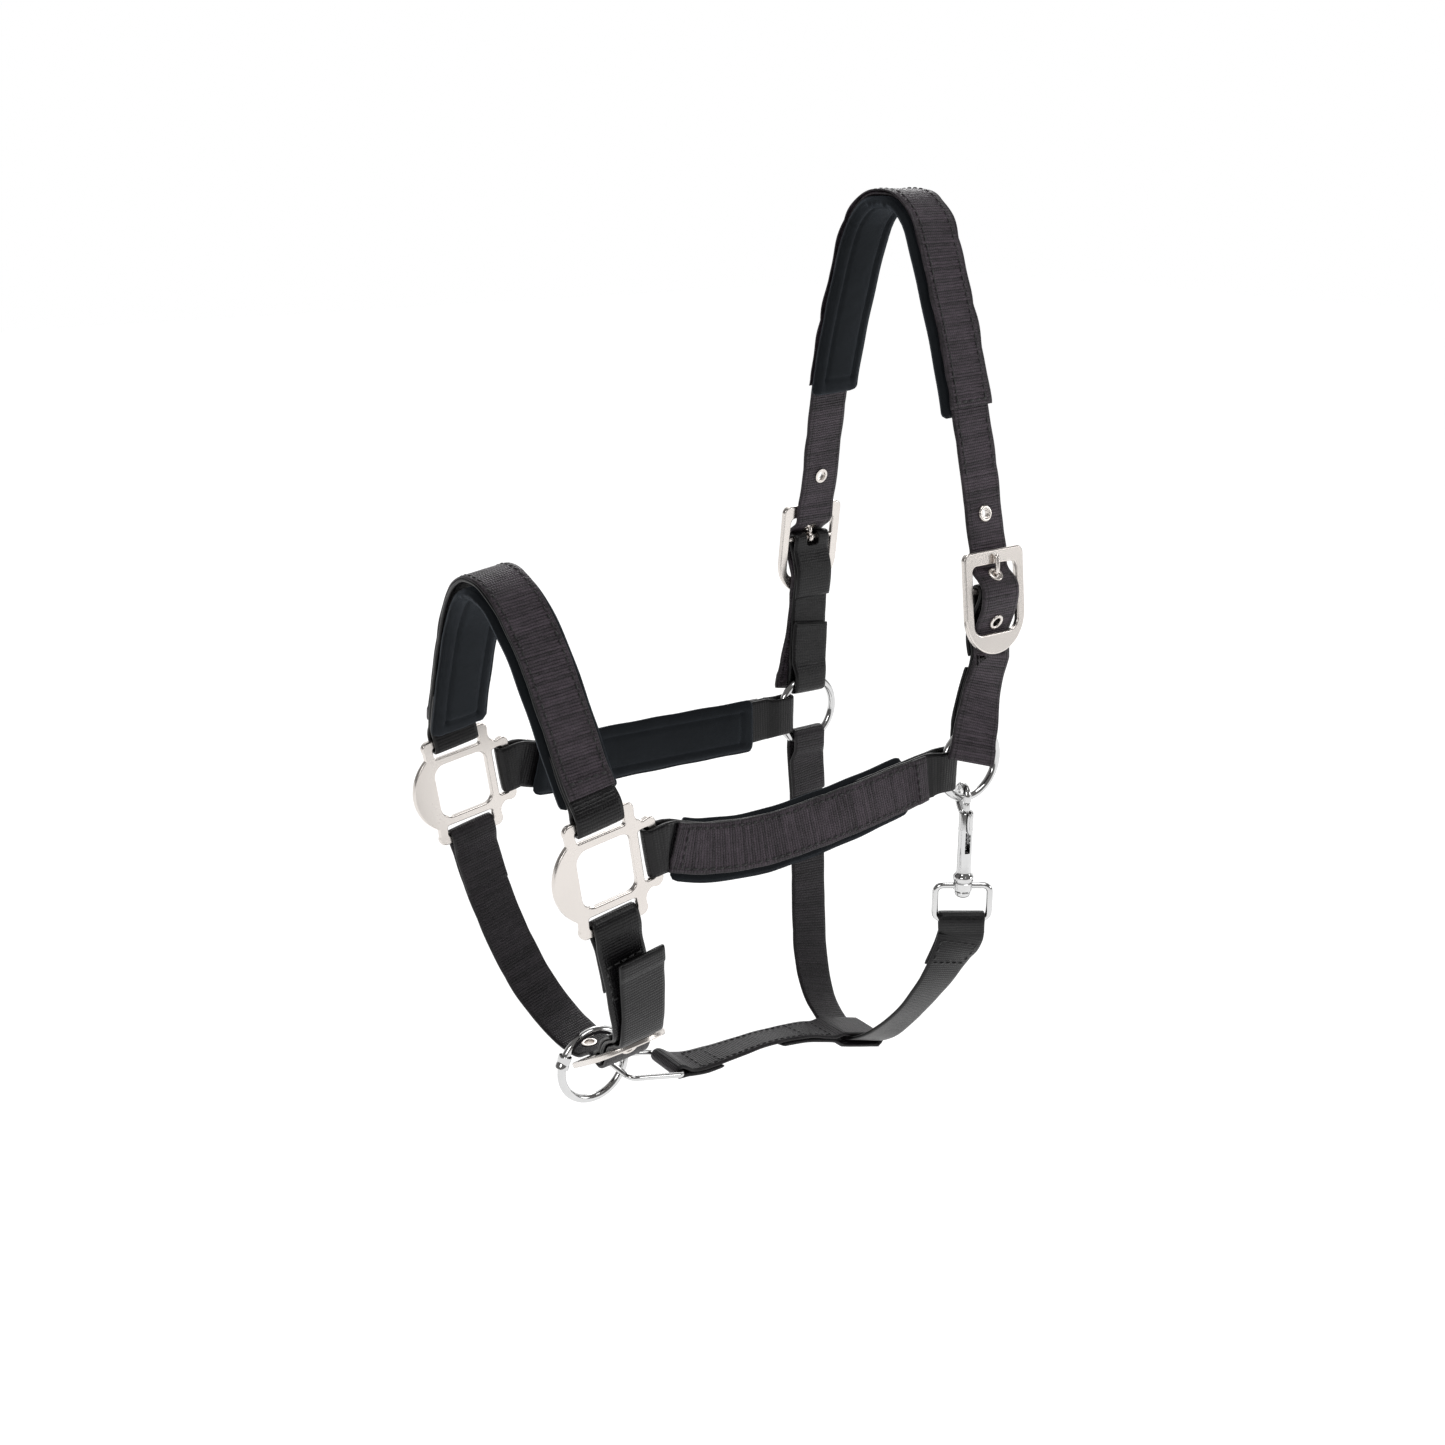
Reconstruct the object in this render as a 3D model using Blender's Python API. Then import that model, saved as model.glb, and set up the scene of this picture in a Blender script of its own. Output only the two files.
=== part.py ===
"""Webbing headcollar. Origin under the crown pad at the poll, +Z up, nose towards -X, near side -Y."""

import math

import bmesh
import bpy
import numpy as np
from mathutils import Matrix, Vector

# driving dimensions, in millimetres
WEB = 25.0
WEB_THICK = 2.0
GAP = 0.35
PAD_WIDE = 31.4
PAD_THICK = 5.6
RING_MID = 19.75
RING_WIRE = 2.25
PLATE = 3.0
SQUARE_AT = (-231.0, 70.0, -288.4)
SQUARE_TILT = 8.0
RIM_OUT = 27.6
CHEEK_RING = {-1: (1.0, -70.0, -285.0), 1: (1.0, 70.0, -292.0)}
BUCKLE_AT = (6.0, 77.0, -195.0)
BUCKLE_TILT = 7.0
CHIN_RING = (-198.0, 0.0, -434.0)
LINK_REAR = (-149.5, 0.0, -450.0)
SNAP_AXIS = (-4.3, -75.0)
SNAP_TURN = -20.0
EYE_TURN = -36.0
EYE_BAR_Z = -374.0
EYELET_OUT = 4.3
EYELET_HOLE = 2.6
SIDES = {"near": -1, "far": 1}
SLOTS = {}


def clear():
    for item in list(bpy.data.objects):
        bpy.data.objects.remove(item, do_unlink=True)


def material(name, colour, metallic, roughness):
    made = bpy.data.materials.new(name)
    made.use_nodes = True
    shader = made.node_tree.nodes["Principled BSDF"]
    shader.inputs["Base Color"].default_value = (*colour, 1)
    shader.inputs["Metallic"].default_value = metallic
    shader.inputs["Roughness"].default_value = roughness
    return made


def solid(name, verts, faces, slot):
    """One closed mesh from points in millimetres."""
    mesh = bpy.data.meshes.new(name)
    mesh.from_pydata([tuple(0.001 * c for c in v) for v in verts], [], faces)
    work = bmesh.new()
    work.from_mesh(mesh)
    bmesh.ops.recalc_face_normals(work, faces=work.faces)
    if work.calc_volume(signed=True) < 0:
        bmesh.ops.reverse_faces(work, faces=work.faces)
    work.to_mesh(mesh)
    work.free()
    item = bpy.data.objects.new(name, mesh)
    bpy.context.collection.objects.link(item)
    mesh.materials.append(SLOTS[slot])
    return item


def tube(rows, closed):
    """Quads between rows of points; the ends are capped unless the rows close on themselves."""
    count = len(rows)
    around = len(rows[0])
    verts = [p for row in rows for p in row]
    faces = []
    for i in range(count if closed else count - 1):
        a = i * around
        b = ((i + 1) % count) * around
        for j in range(around):
            k = (j + 1) % around
            faces.append((a + j, a + k, b + k, b + j))
    if not closed:
        faces.append(tuple(range(around)))
        faces.append(tuple(range((count - 1) * around, count * around)))
    return verts, faces


def unit(v):
    return v / np.linalg.norm(v)


def smooth(points, steps=6):
    """Catmull-Rom curve through the points, as an array."""
    p = [np.array(q, float) for q in points]
    p = [2 * p[0] - p[1], *p, 2 * p[-1] - p[-2]]
    out = []
    for i in range(1, len(p) - 2):
        for k in range(steps):
            t = k / steps
            out.append(
                0.5
                * (
                    2 * p[i]
                    + (p[i + 1] - p[i - 1]) * t
                    + (2 * p[i - 1] - 5 * p[i] + 4 * p[i + 1] - p[i + 2]) * t * t
                    + (3 * p[i] - p[i - 1] - 3 * p[i + 1] + p[i + 2]) * t * t * t
                )
            )
    out.append(p[-2])
    return np.array(out)


def rail(points, wides, steps=6):
    """Lengths, points and width directions along a strap's middle line."""
    line = smooth(points, steps)
    wide = smooth(wides, steps)
    length = np.concatenate([[0], np.cumsum(np.linalg.norm(np.diff(line, axis=0), axis=1))])
    return length, line, wide


def on_rail(r, s, n):
    """Point, width direction and normal at length s, lifted n from the middle line."""
    length, line, wide = r
    inside = min(max(s, 0.0), length[-1])
    point = np.array([np.interp(inside, length, line[:, k]) for k in range(3)])
    before = np.array([np.interp(max(inside - 1.5, 0), length, line[:, k]) for k in range(3)])
    after = np.array([np.interp(min(inside + 1.5, length[-1]), length, line[:, k]) for k in range(3)])
    along = unit(after - before)
    across = np.array([np.interp(inside, length, wide[:, k]) for k in range(3)])
    across = unit(across - along * np.dot(across, along))
    normal = np.cross(across, along)
    return point + along * (s - inside) + normal * n, across, normal


def section(point, across, normal, wide, thick, corner=0.5):
    """Corners of a flat strap's cross-section: eight where they are rounded, or four."""
    a = across * wide / 2
    a2 = across * (wide / 2 - corner)
    n = normal * thick / 2
    n2 = normal * (thick / 2 - corner)
    if not corner:
        return [point + d for d in (a + n, -a + n, -a - n, a - n)]
    return [point + d for d in (a + n2, a2 + n, -a2 + n, -a + n2, -a - n2, -a2 - n, a2 - n, a - n2)]


def ribbon(name, r, path, slot, wide=WEB, thick=WEB_THICK, corner=0):
    """A strap along a list of (length, lift) or (length, lift, width) on a rail."""
    placed = [on_rail(r, q[0], q[1]) for q in path]
    points = [q[0] for q in placed]
    rows = []
    for i, (point, across, _) in enumerate(placed):
        along = unit(points[min(i + 1, len(points) - 1)] - points[max(i - 1, 0)])
        width = unit(across - along * np.dot(across, along))
        span = path[i][2] if len(path[i]) > 2 else wide
        rows.append(section(point, width, np.cross(width, along), span, thick, corner))
    verts, faces = tube(rows, False)
    return solid(name, verts, faces, slot)


def fold(near, hold, reach, tail, narrow=WEB, open_for=9.0, steps=7):
    """Inner leg and turn round a bar at length 0: the sewn end, the turn, the outer leg.

    The legs keep clear of the bar down to `near`, where the turn begins, and meet `open_for` above `hold`."""
    layer = (WEB_THICK + GAP) / 2
    leg = [(near, reach, narrow)]
    for k in range(5):
        t = k / 4
        ease = t * t * (3 - 2 * t)
        wide = narrow + (WEB - narrow) * ease
        leg.append((hold + open_for * t, reach + (layer - reach) * ease, wide))
    turn = [math.pi * k / steps for k in range(1, steps)]
    bottom = hold + open_for
    parts = max(1, round((tail - bottom) / 9))
    path = [(tail + (bottom - tail) * k / parts, -layer, WEB) for k in range(parts)]
    path += [(s, -n, w) for s, n, w in reversed(leg)]
    path += [(near - reach * math.sin(a), -reach * math.cos(a), narrow) for a in turn]
    return path + leg


def flip(path, total):
    """The same fold at the far end of a rail."""
    return [(total - s, n, w) for s, n, w in reversed(path)]


def cut(item, cutters):
    for cutter in cutters:
        mod = item.modifiers.new("cut", "BOOLEAN")
        mod.solver = "EXACT"
        mod.object = cutter
        cutter.hide_render = True
        cutter.display_type = "WIRE"


def rod(centre, along, radius, half, name="hole", sides=16):
    """A plain round bar, for cutting."""
    along = unit(np.array(along, float))
    side = unit(np.cross(along, [0.3, 0.9, 0.2]))
    other = np.cross(along, side)
    centre = np.array(centre, float)
    rows = []
    for end in (-half, half):
        ring = []
        for k in range(sides):
            a = 2 * math.pi * k / sides
            ring.append(centre + along * end + (side * math.cos(a) + other * math.sin(a)) * radius)
        rows.append(ring)
    verts, faces = tube(rows, False)
    return solid(name, verts, faces, "steel")


def lathe(name, centre, axis, profile, slot, sides=16):
    """A closed ring turned about an axis from (radius, height) points."""
    axis = unit(np.array(axis, float))
    side = unit(np.cross(axis, [0.31, 0.2, 0.93]))
    other = np.cross(axis, side)
    centre = np.array(centre, float)
    rows = []
    for k in range(sides):
        a = 2 * math.pi * k / sides
        out = side * math.cos(a) + other * math.sin(a)
        rows.append([centre + out * radius + axis * height for radius, height in profile])
    verts, faces = tube(rows, True)
    return solid(name, verts, faces, slot)


def wire(name, points, radius, slot, sides=8):
    """A round wire along points."""
    pts = [np.array(p, float) for p in points]
    count = len(pts)
    rows = []
    side = None
    for i, p in enumerate(pts):
        along = unit(pts[min(i + 1, count - 1)] - pts[max(i - 1, 0)])
        if side is None:
            side = unit(np.cross(along, [0.21, 0.13, 0.97]))
        side = unit(side - along * np.dot(side, along))
        other = np.cross(along, side)
        ring = []
        for k in range(sides):
            a = 2 * math.pi * (k + 0.5) / sides
            ring.append(p + (side * math.cos(a) + other * math.sin(a)) * radius)
        rows.append(ring)
    verts, faces = tube(rows, False)
    return solid(name, verts, faces, slot)


def wire_loop(name, pts, radius, slot, sides=8):
    """A closed flat loop of wire: its section is set from the loop's own plane."""
    middle = sum(pts) / len(pts)
    normal = unit(sum(np.cross(pts[i - 1] - middle, pts[i] - middle) for i in range(len(pts))))
    rows = []
    for i, p in enumerate(pts):
        along = unit(pts[(i + 1) % len(pts)] - pts[i - 1])
        side = np.cross(along, normal)
        ring = []
        for k in range(sides):
            a = 2 * math.pi * (k + 0.5) / sides
            ring.append(p + (side * math.cos(a) + normal * math.sin(a)) * radius)
        rows.append(ring)
    verts, faces = tube(rows, True)
    return solid(name, verts, faces, slot)


def circle(centre, normal, radius, count=32):
    normal = unit(np.array(normal, float))
    side = unit(np.cross(normal, [0.1, 0.2, 0.9]))
    other = np.cross(normal, side)
    turn = [2 * math.pi * k / count for k in range(count)]
    return [np.array(centre) + (side * math.cos(a) + other * math.sin(a)) * radius for a in turn]


def corner_arc(x, z, radius, start, end, steps=4):
    turn = [math.radians(start + (end - start) * k / steps) for k in range(steps + 1)]
    return [(x + radius * math.cos(a), z + radius * math.sin(a)) for a in turn]


def round_box(x0, x1, z0, z1, radius, steps=3):
    return (
        corner_arc(x1 - radius, z1 - radius, radius, 0, 90, steps)
        + corner_arc(x0 + radius, z1 - radius, radius, 90, 180, steps)
        + corner_arc(x0 + radius, z0 + radius, radius, 180, 270, steps)
        + corner_arc(x1 - radius, z0 + radius, radius, 270, 360, steps)
    )


def flat(name, outline, frame, thick, slot, bevel=0.0):
    """A plate: an outline of (u, v) pushed out along n. The frame is centre, u, v, n."""
    centre, u, v, n = frame
    middle = np.array(outline).mean(axis=0)
    if bevel:
        small = [tuple(middle + (np.array(q) - middle) * (1 - bevel / 25)) for q in outline]
        layers = ((small, -thick / 2), (outline, -thick / 2 + bevel), (outline, thick / 2 - bevel), (small, thick / 2))
    else:
        layers = ((outline, -thick / 2), (outline, thick / 2))
    rows = [[centre + u * a + v * b + n * h for a, b in ring] for ring, h in layers]
    verts, faces = tube(rows, False)
    return solid(name, verts, faces, slot)


# frames of the plates


def square_frame(side):
    a = math.radians(SQUARE_TILT)
    u = np.array([math.cos(a), 0, math.sin(a)])
    v = np.array([-math.sin(a), 0, math.cos(a)])
    centre = np.array([SQUARE_AT[0], side * SQUARE_AT[1], SQUARE_AT[2]])
    return centre, u, v, np.array([0.0, side, 0.0])


def buckle_frame(side):
    a = math.radians(BUCKLE_TILT)
    u = np.array([1.0, 0.0, 0.0])
    v = np.array([0, -side * math.sin(a), math.cos(a)])
    n = np.array([0, side * math.cos(a), math.sin(a)])
    centre = np.array([BUCKLE_AT[0], side * BUCKLE_AT[1], BUCKLE_AT[2]])
    return centre, u, v, n


def chin_frame():
    """The chin buckle: round foot up and out on the near side, top bar by the ring."""
    v = unit(np.array([10.0, 45.5, -28.8]))
    u = np.array([1.0, 0.0, 0.08])
    u = unit(u - v * np.dot(u, v))
    n = np.cross(v, u)
    n = n if n[1] < 0 else -n
    return np.array([-204.5, -39.5, -403.5]), u, v, n


def local(frame, u, v, n):
    return frame[0] + frame[1] * u + frame[2] * v + frame[3] * n


# metal


def nose_square(word, side):
    frame = square_frame(side)
    outline = (
        corner_arc(-15.4, 26.0, 3.8, 90, 212, 5)
        + corner_arc(-4.0, 0, 24.6, 126, 234, 12)
        + corner_arc(-15.4, -26.0, 3.8, 148, 270, 5)
        + corner_arc(15.4, -26.0, 3.8, -90, 20, 5)
        + corner_arc(24.1, -22.8, 5.2, 195, 103, 4)
        + corner_arc(26.0, -14.6, 3.8, -103, 0, 4)
        + corner_arc(26.0, 14.6, 3.8, 0, 103, 4)
        + corner_arc(24.1, 22.8, 5.2, 257, 165, 4)
        + corner_arc(15.4, 26.0, 3.8, -20, 90, 5)
    )
    plate = flat(f"{word}_nose_square", outline, frame, PLATE, "plate_nickel")
    window = flat("hole", round_box(-15, 15, -15, 15, 5), frame, 12, "plate_nickel")
    top = flat("hole", round_box(-13.4, 13.4, 19.4, 25.4, 1.2), frame, 12, "plate_nickel")
    low = flat("hole", round_box(-13.4, 13.4, -25.4, -19.4, 1.2), frame, 12, "plate_nickel")
    rear = flat("hole", round_box(19.4, 25.4, -13.4, 13.4, 1.2), frame, 12, "plate_nickel")
    cut(plate, [window, top, low, rear])


def buckle(word, frame):
    """Plate with a straight top, a deep round foot and a round bar a third of the way down."""
    outline = (
        corner_arc(17, 23.5, 4, 0, 90)
        + corner_arc(-17, 23.5, 4, 90, 180)
        + corner_arc(0, -6.5, 21, 180, 360, 12)
    )
    plate = flat(f"{word}_buckle", outline, frame, PLATE, "plate_nickel")
    window = flat(
        "hole",
        corner_arc(12.5, 17, 3, 0, 90) + corner_arc(-12.5, 17, 3, 90, 180)
        + corner_arc(-9.5, -10.2, 6, 180, 270) + corner_arc(9.5, -10.2, 6, 270, 360),
        frame, 12, "plate_nickel",
    )
    bar = rod(local(frame, 0, 7, 0), frame[1], 1.5, 17.6, "bar", 12)
    cut(plate, [window])
    mod = plate.modifiers.new("bar", "BOOLEAN")
    mod.operation = "UNION"
    mod.solver = "EXACT"
    mod.object = bar
    bar.hide_render = True
    bar.display_type = "WIRE"


def tongue(word, frame):
    """Ring on the bar with a cranked pin through the strap's eyelet to the top bar."""
    c = local(frame, 0, 7, 0)
    ring = lathe("turn", c, frame[1], [(1.8, -1.5), (3.2, -1.5), (3.2, 1.5), (1.8, 1.5)], "plate_nickel", 16)
    shaft = [(9.4, 0.0), (11.3, -0.3), (13.9, 1.1), (16.3, 3.0), (19.0, 3.5), (25.4, 3.3)]
    line = smooth([local(frame, 0, v, n) for v, n in shaft], 2)
    pin = wire(f"{word}_tongue", line, 1.3, "plate_nickel", 8)
    mod = pin.modifiers.new("ring", "BOOLEAN")
    mod.operation = "UNION"
    mod.solver = "EXACT"
    mod.object = ring
    ring.hide_render = True
    ring.display_type = "WIRE"
    clean = rod(c, frame[1], 1.8, 6, "hole", 16)
    cut(pin, [clean])


def rings():
    for word, side in SIDES.items():
        wire_loop(f"{word}_cheek_ring", circle(CHEEK_RING[side], (0, 1, 0), RING_MID, 30), RING_WIRE, "steel", 8)
    wire_loop("chin_ring", circle(CHIN_RING, (0, 1, 0), RING_MID, 30), RING_WIRE, "steel", 8)
    a = math.radians(158)
    spot = np.array(CHIN_RING) + RING_MID * np.array([math.cos(a), 0, math.sin(a)])
    along = np.array([-math.sin(a), 0, math.cos(a)])
    lathe("chin_ring_sleeve", spot, along, [(2.9, -3.6), (3.7, -3.6), (3.7, 3.6), (2.9, 3.6)], "steel", 12)


def chin_link():
    """Flat oblong loop of wire: its front bar is in the ring, its rear bar holds the jaw strap."""
    front = np.array([-184.4, 0.0, -440.3])
    rear = np.array(LINK_REAR)
    length = np.linalg.norm(rear - front)
    along = (rear - front) / length
    outline = round_box(0, length, -15.2, 15.2, 4.0, 4)
    across = np.array([0.0, 1.0, 0.0])
    wire_loop("chin_link", [front + along * a + across * b for a, b in outline], 1.6, "steel", 8)


def make_materials():
    SLOTS["webbing"] = material("webbing", (0.05, 0.046, 0.05), 0, 0.6)
    SLOTS["padding"] = material("padding", (0.012, 0.016, 0.022), 0, 0.85)
    SLOTS["plate_nickel"] = material("plate_nickel", (0.8, 0.77, 0.73), 1, 0.3)
    SLOTS["steel"] = material("steel", (0.78, 0.78, 0.78), 1, 0.15)
    SLOTS["spring_steel"] = material("spring_steel", (0.5, 0.5, 0.5), 1, 0.3)


def snap_point(e, b, z):
    """A point of the snap: e across the hook, b back from the barrel's axis towards the head."""
    a = math.radians(SNAP_TURN)
    x, y = SNAP_AXIS
    return np.array([x + e * math.cos(a) - b * math.sin(a), y + e * math.sin(a) + b * math.cos(a), z])


def snap():
    """Bolt snap on the near ring: hook and barrel in one, the sprung bolt, its spring."""
    x, y = SNAP_AXIS
    body = lathe_solid("snap_hook", (x, y, 0), [
        (0, -310.2), (3.2, -310.2), (3.9, -311.2), (3.9, -347.0), (5.6, -348.0), (5.6, -350.9),
        (2.3, -350.9), (2.3, -357.2), (4.4, -357.2), (4.4, -359.2), (3.2, -360.4), (0, -360.4),
    ], "steel", 20)
    turn = [(1.5, -316.5), (4.3, -313.2), (8.6, -310.4), (11.7, -306.0), (11.4, -301.2), (7.6, -298.0)]
    turn += [(3.0, -298.2), (0.3, -301.2), (0.0, -305.1)]
    hook = wire("hook", smooth([snap_point(0, b, z) for b, z in turn], 3), 2.2, "steel", 10)
    join(body, hook)
    bore = rod((x, y, -322.1), (0, 0, 1), 2.2, 14.0, "hole", 16)
    lane = oriented_box(-1.5, 1.5, -6.0, 0.0, -334.0, -306.0)
    cut(body, [bore, lane])
    bolt = lathe_solid("snap_bolt", (x, y, 0), [(0, -305.6), (1.5, -305.6), (1.85, -306.2), (1.85, -322.6), (0, -322.6)], "steel")
    join(bolt, oriented_box(-1.1, 1.1, -6.6, 0.0, -321.6, -311.0))
    coil = [(1.4, a * math.pi / 4, -324.0 - 11.2 * a / 40) for a in range(41)]
    line = [(x + r * math.cos(a), y + r * math.sin(a), z) for r, a, z in coil]
    wire("snap_spring", line, 0.35, "spring_steel", 6)


def oriented_box(e0, e1, b0, b1, z0, z1):
    verts = [snap_point(e, b, z) for z in (z0, z1) for e, b in ((e0, b0), (e1, b0), (e1, b1), (e0, b1))]
    faces = [(0, 3, 2, 1), (4, 5, 6, 7), (0, 1, 5, 4), (1, 2, 6, 5), (2, 3, 7, 6), (3, 0, 4, 7)]
    return solid("block", verts, faces, "steel")


def join(item, other):
    mod = item.modifiers.new("join", "BOOLEAN")
    mod.operation = "UNION"
    mod.solver = "EXACT"
    mod.object = other
    other.hide_render = True
    other.display_type = "WIRE"


def lathe_solid(name, centre, profile, slot, sides=16):
    """A solid turned about Z from (radius, z) points that begin and end on the axis."""
    x, y, z = centre
    verts = [(x, y, z + profile[0][1])]
    for radius, height in profile[1:-1]:
        for k in range(sides):
            a = 2 * math.pi * (k + 0.5) / sides
            verts.append((x + radius * math.cos(a), y + radius * math.sin(a), z + height))
    verts.append((x, y, z + profile[-1][1]))
    faces = []
    for k in range(sides):
        m = (k + 1) % sides
        faces.append((0, 1 + m, 1 + k))
        last = 1 + (len(profile) - 3) * sides
        faces.append((len(verts) - 1, last + k, last + m))
    for i in range(len(profile) - 3):
        for k in range(sides):
            m = (k + 1) % sides
            a = 1 + i * sides
            faces.append((a + k, a + m, a + sides + m, a + sides + k))
    return solid(name, verts, faces, slot)


def snap_eye():
    """Square eye turning on the barrel's foot; the throat strap folds on its lower bar."""
    a = math.radians(EYE_TURN)
    across = np.array([math.cos(a), math.sin(a), 0])
    outline = round_box(-14.9, 14.9, EYE_BAR_Z, -354.0, 4.0, 4)
    centre = np.array([*SNAP_AXIS, 0.0])
    loop = wire_loop("snap_swivel_eye", [centre + across * e + np.array([0, 0, z]) for e, z in outline], 1.8, "steel")
    join(loop, rod((*SNAP_AXIS, -354.0), (0, 0, 1), 5.2, 2.7, "boss", 16))
    cut(loop, [rod((*SNAP_AXIS, -354.0), (0, 0, 1), 2.65, 9, "hole", 16)])


# straps


def eyelet(name, point, normal):
    """A rolled eyelet through one layer of strap."""
    skin = WEB_THICK / 2 + GAP
    profile = [
        (EYELET_HOLE, -skin - 0.5), (EYELET_OUT - 0.3, -skin - 0.5), (EYELET_OUT - 0.3, -skin), (3.2, -skin),
        (3.2, skin), (EYELET_OUT, skin), (EYELET_OUT - 0.6, skin + 0.7), (EYELET_HOLE, skin + 0.7),
    ]
    return lathe(name, point, normal, profile, "plate_nickel", 12)


def with_eyelets(strap, r, spots, names):
    """Cut the eyelet holes where the strap's path has these points and set the eyelets in them."""
    cutters = []
    for (point, normal), name in zip(spots, names):
        cutters.append(rod(point, normal, 3.2 + GAP, 2.2))
        eyelet(name, point, normal)
    cut(strap, cutters)


def path_3d(r, path):
    return np.array([on_rail(r, q[0], q[1])[0] for q in path])


def spot_near(r, path, target):
    """Point and normal on a strap's path nearest a target."""
    pts = path_3d(r, path)
    fine = []
    for i in range(len(pts) - 1):
        for k in range(10):
            t = k / 10
            fine.append((pts[i] * (1 - t) + pts[i + 1] * t, i))
    point, i = min(fine, key=lambda q: np.linalg.norm(q[0] - target))
    across = on_rail(r, path[i][0], path[i][1])[1]
    along = unit(pts[i + 1] - pts[i])
    across = unit(across - along * np.dot(across, along))
    return point, np.cross(across, along)


RIM_FOLD = {"near": -1.9, "hold": 2.4, "reach": 2.9, "narrow": WEB}
RING_FOLD = {"near": -4.1, "hold": 2.9, "reach": 3.7, "narrow": 22.2}
BAR_FOLD = {"near": 0.0, "hold": 0.0, "reach": 2.9, "narrow": WEB}


def middle(total, start, end, steps, n):
    return [(start + (end - start) * k / steps, n, WEB) for k in range(1, steps)]


def double_fold(total, first, first_tail, last, last_tail, steps=10):
    """A strap folded round a bar at each end."""
    a = fold(tail=first_tail, **first)
    b = flip(fold(tail=last_tail, **last), total)
    layer = (WEB_THICK + GAP) / 2
    between = middle(total, a[-1][0], b[0][0], steps, layer)
    return a + between + b


def same(vector, count):
    return [vector] * count


def buckle_strand(frame, side_in):
    """(v, n) of a loose strap through a buckle, from below the foot to above the top bar."""
    return [
        (-30, -3.4), (-27.5, -3.0), (-22, -2.9), (-16.5, -2.8), (-12, -0.9), (-7, 1.7), (-2, 3.9), (3, 5.1),
        (8, 5.0), (11, 3.6), (13.7, 1.0), (16.3, -1.7), (19.2, -3.0), (23, -3.05), (28, -3.1),
    ]


def crown():
    near = buckle_frame(-1)
    far = buckle_frame(1)
    far_tail = [(-4.7, 76.6, -279.5), (-1.2, 76.7, -262.0), (2.8, 75.9, -243.0)]
    tail = [(-13.0, 84.4, -278.0), (-7.2, 81.8, -262.0), (0.9, 77.0, -243.0)]
    up = [(5.6, 66.6, -150.0), (4.4, 62.0, -125.0), (3.0, 56.4, -99.4), (2.2, 51.0, -78.0), (1.4, 44.6, -57.0)]
    up += [(0.6, 38.0, -38.0), (0.0, 31.5, -20.0), (0.0, 24.0, -5.0), (0.0, 12.4, 4.9)]
    one = [(x, -y, z) for x, y, z in tail]
    one += [local(near, 0, v, n) for v, n in buckle_strand(near, 1)]
    one += [(x, -y, z) for x, y, z in up]
    apex = [(0.0, 0.0, 6.95)]
    two = [(x, y, z) for x, y, z in far_tail] + [local(far, 0, v, n) for v, n in buckle_strand(far, 1)]
    two += [(x, y, z) for x, y, z in up]
    points = one + apex + two[::-1]
    lean = [(0.98, 0, -0.16), (0.985, 0, -0.14), (0.99, 0, -0.1), (1, 0, -0.04)]
    near_lean = [(0.8, -0.46, -0.38), (0.87, -0.32, -0.3), (0.975, -0.08, -0.17), (1, 0, -0.05)]
    wides = near_lean + same((1, 0, 0), len(points) - 8) + lean[::-1]
    r = rail(points, wides, 3)
    path = [(s, 0.0) for s in r[0]]
    strap = ribbon("crown_strap", r, path, "webbing")
    for word, frame in (("near", near), ("far", far)):
        spots = [spot_near(r, path, local(frame, 0, 13.7, 1.0)), spot_near(r, path, local(frame, 0, -10.0, 0.2))]
        spots.append(spot_near(r, path, np.array([5.6, 66.6 * (-1 if word == "near" else 1), -150.0])))
        with_eyelets(strap, r, spots, [f"{word}_crown_eyelet_{k}" for k in (2, 1, 3)])
    crown_pad(r)


def pad(name, r, start, end, lift, steps, facet=None):
    """A padded strip under a strap; facet flattens its underside at the middle."""
    rows = []
    stops = [start + (end - start) * k / steps for k in range(steps + 1)]
    if facet:
        low, high = facet
        stops = [s for s in stops if s < low - 1.5 or s > high + 1.5] + [low, high]
        stops.sort()
    for i, s in enumerate(stops):
        point, across, normal = on_rail(r, s, lift)
        end_in = 0.8 if i in (0, len(stops) - 1) else 1.0
        rows.append(section(point, across, normal, PAD_WIDE * (0.5 + end_in / 2), PAD_THICK * end_in, 1.7 * end_in))
    return rows


def crown_pad(r):
    half = r[0][int(np.argmax(r[1][:, 2]))]
    reach = 129.0
    lift = -(WEB_THICK / 2 + GAP + PAD_THICK / 2)
    rows = pad("crown_pad", r, half - reach, half + reach, lift, 26, (half - 6.5, half + 6.5))
    for row in rows:
        for k, p in enumerate(row):
            if abs(p[1]) < 7 and p[2] < 1.6:
                row[k] = np.array([p[0], p[1], 0.0])
    verts, faces = tube(rows, False)
    solid("crown_pad", verts, faces, "padding")


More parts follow.
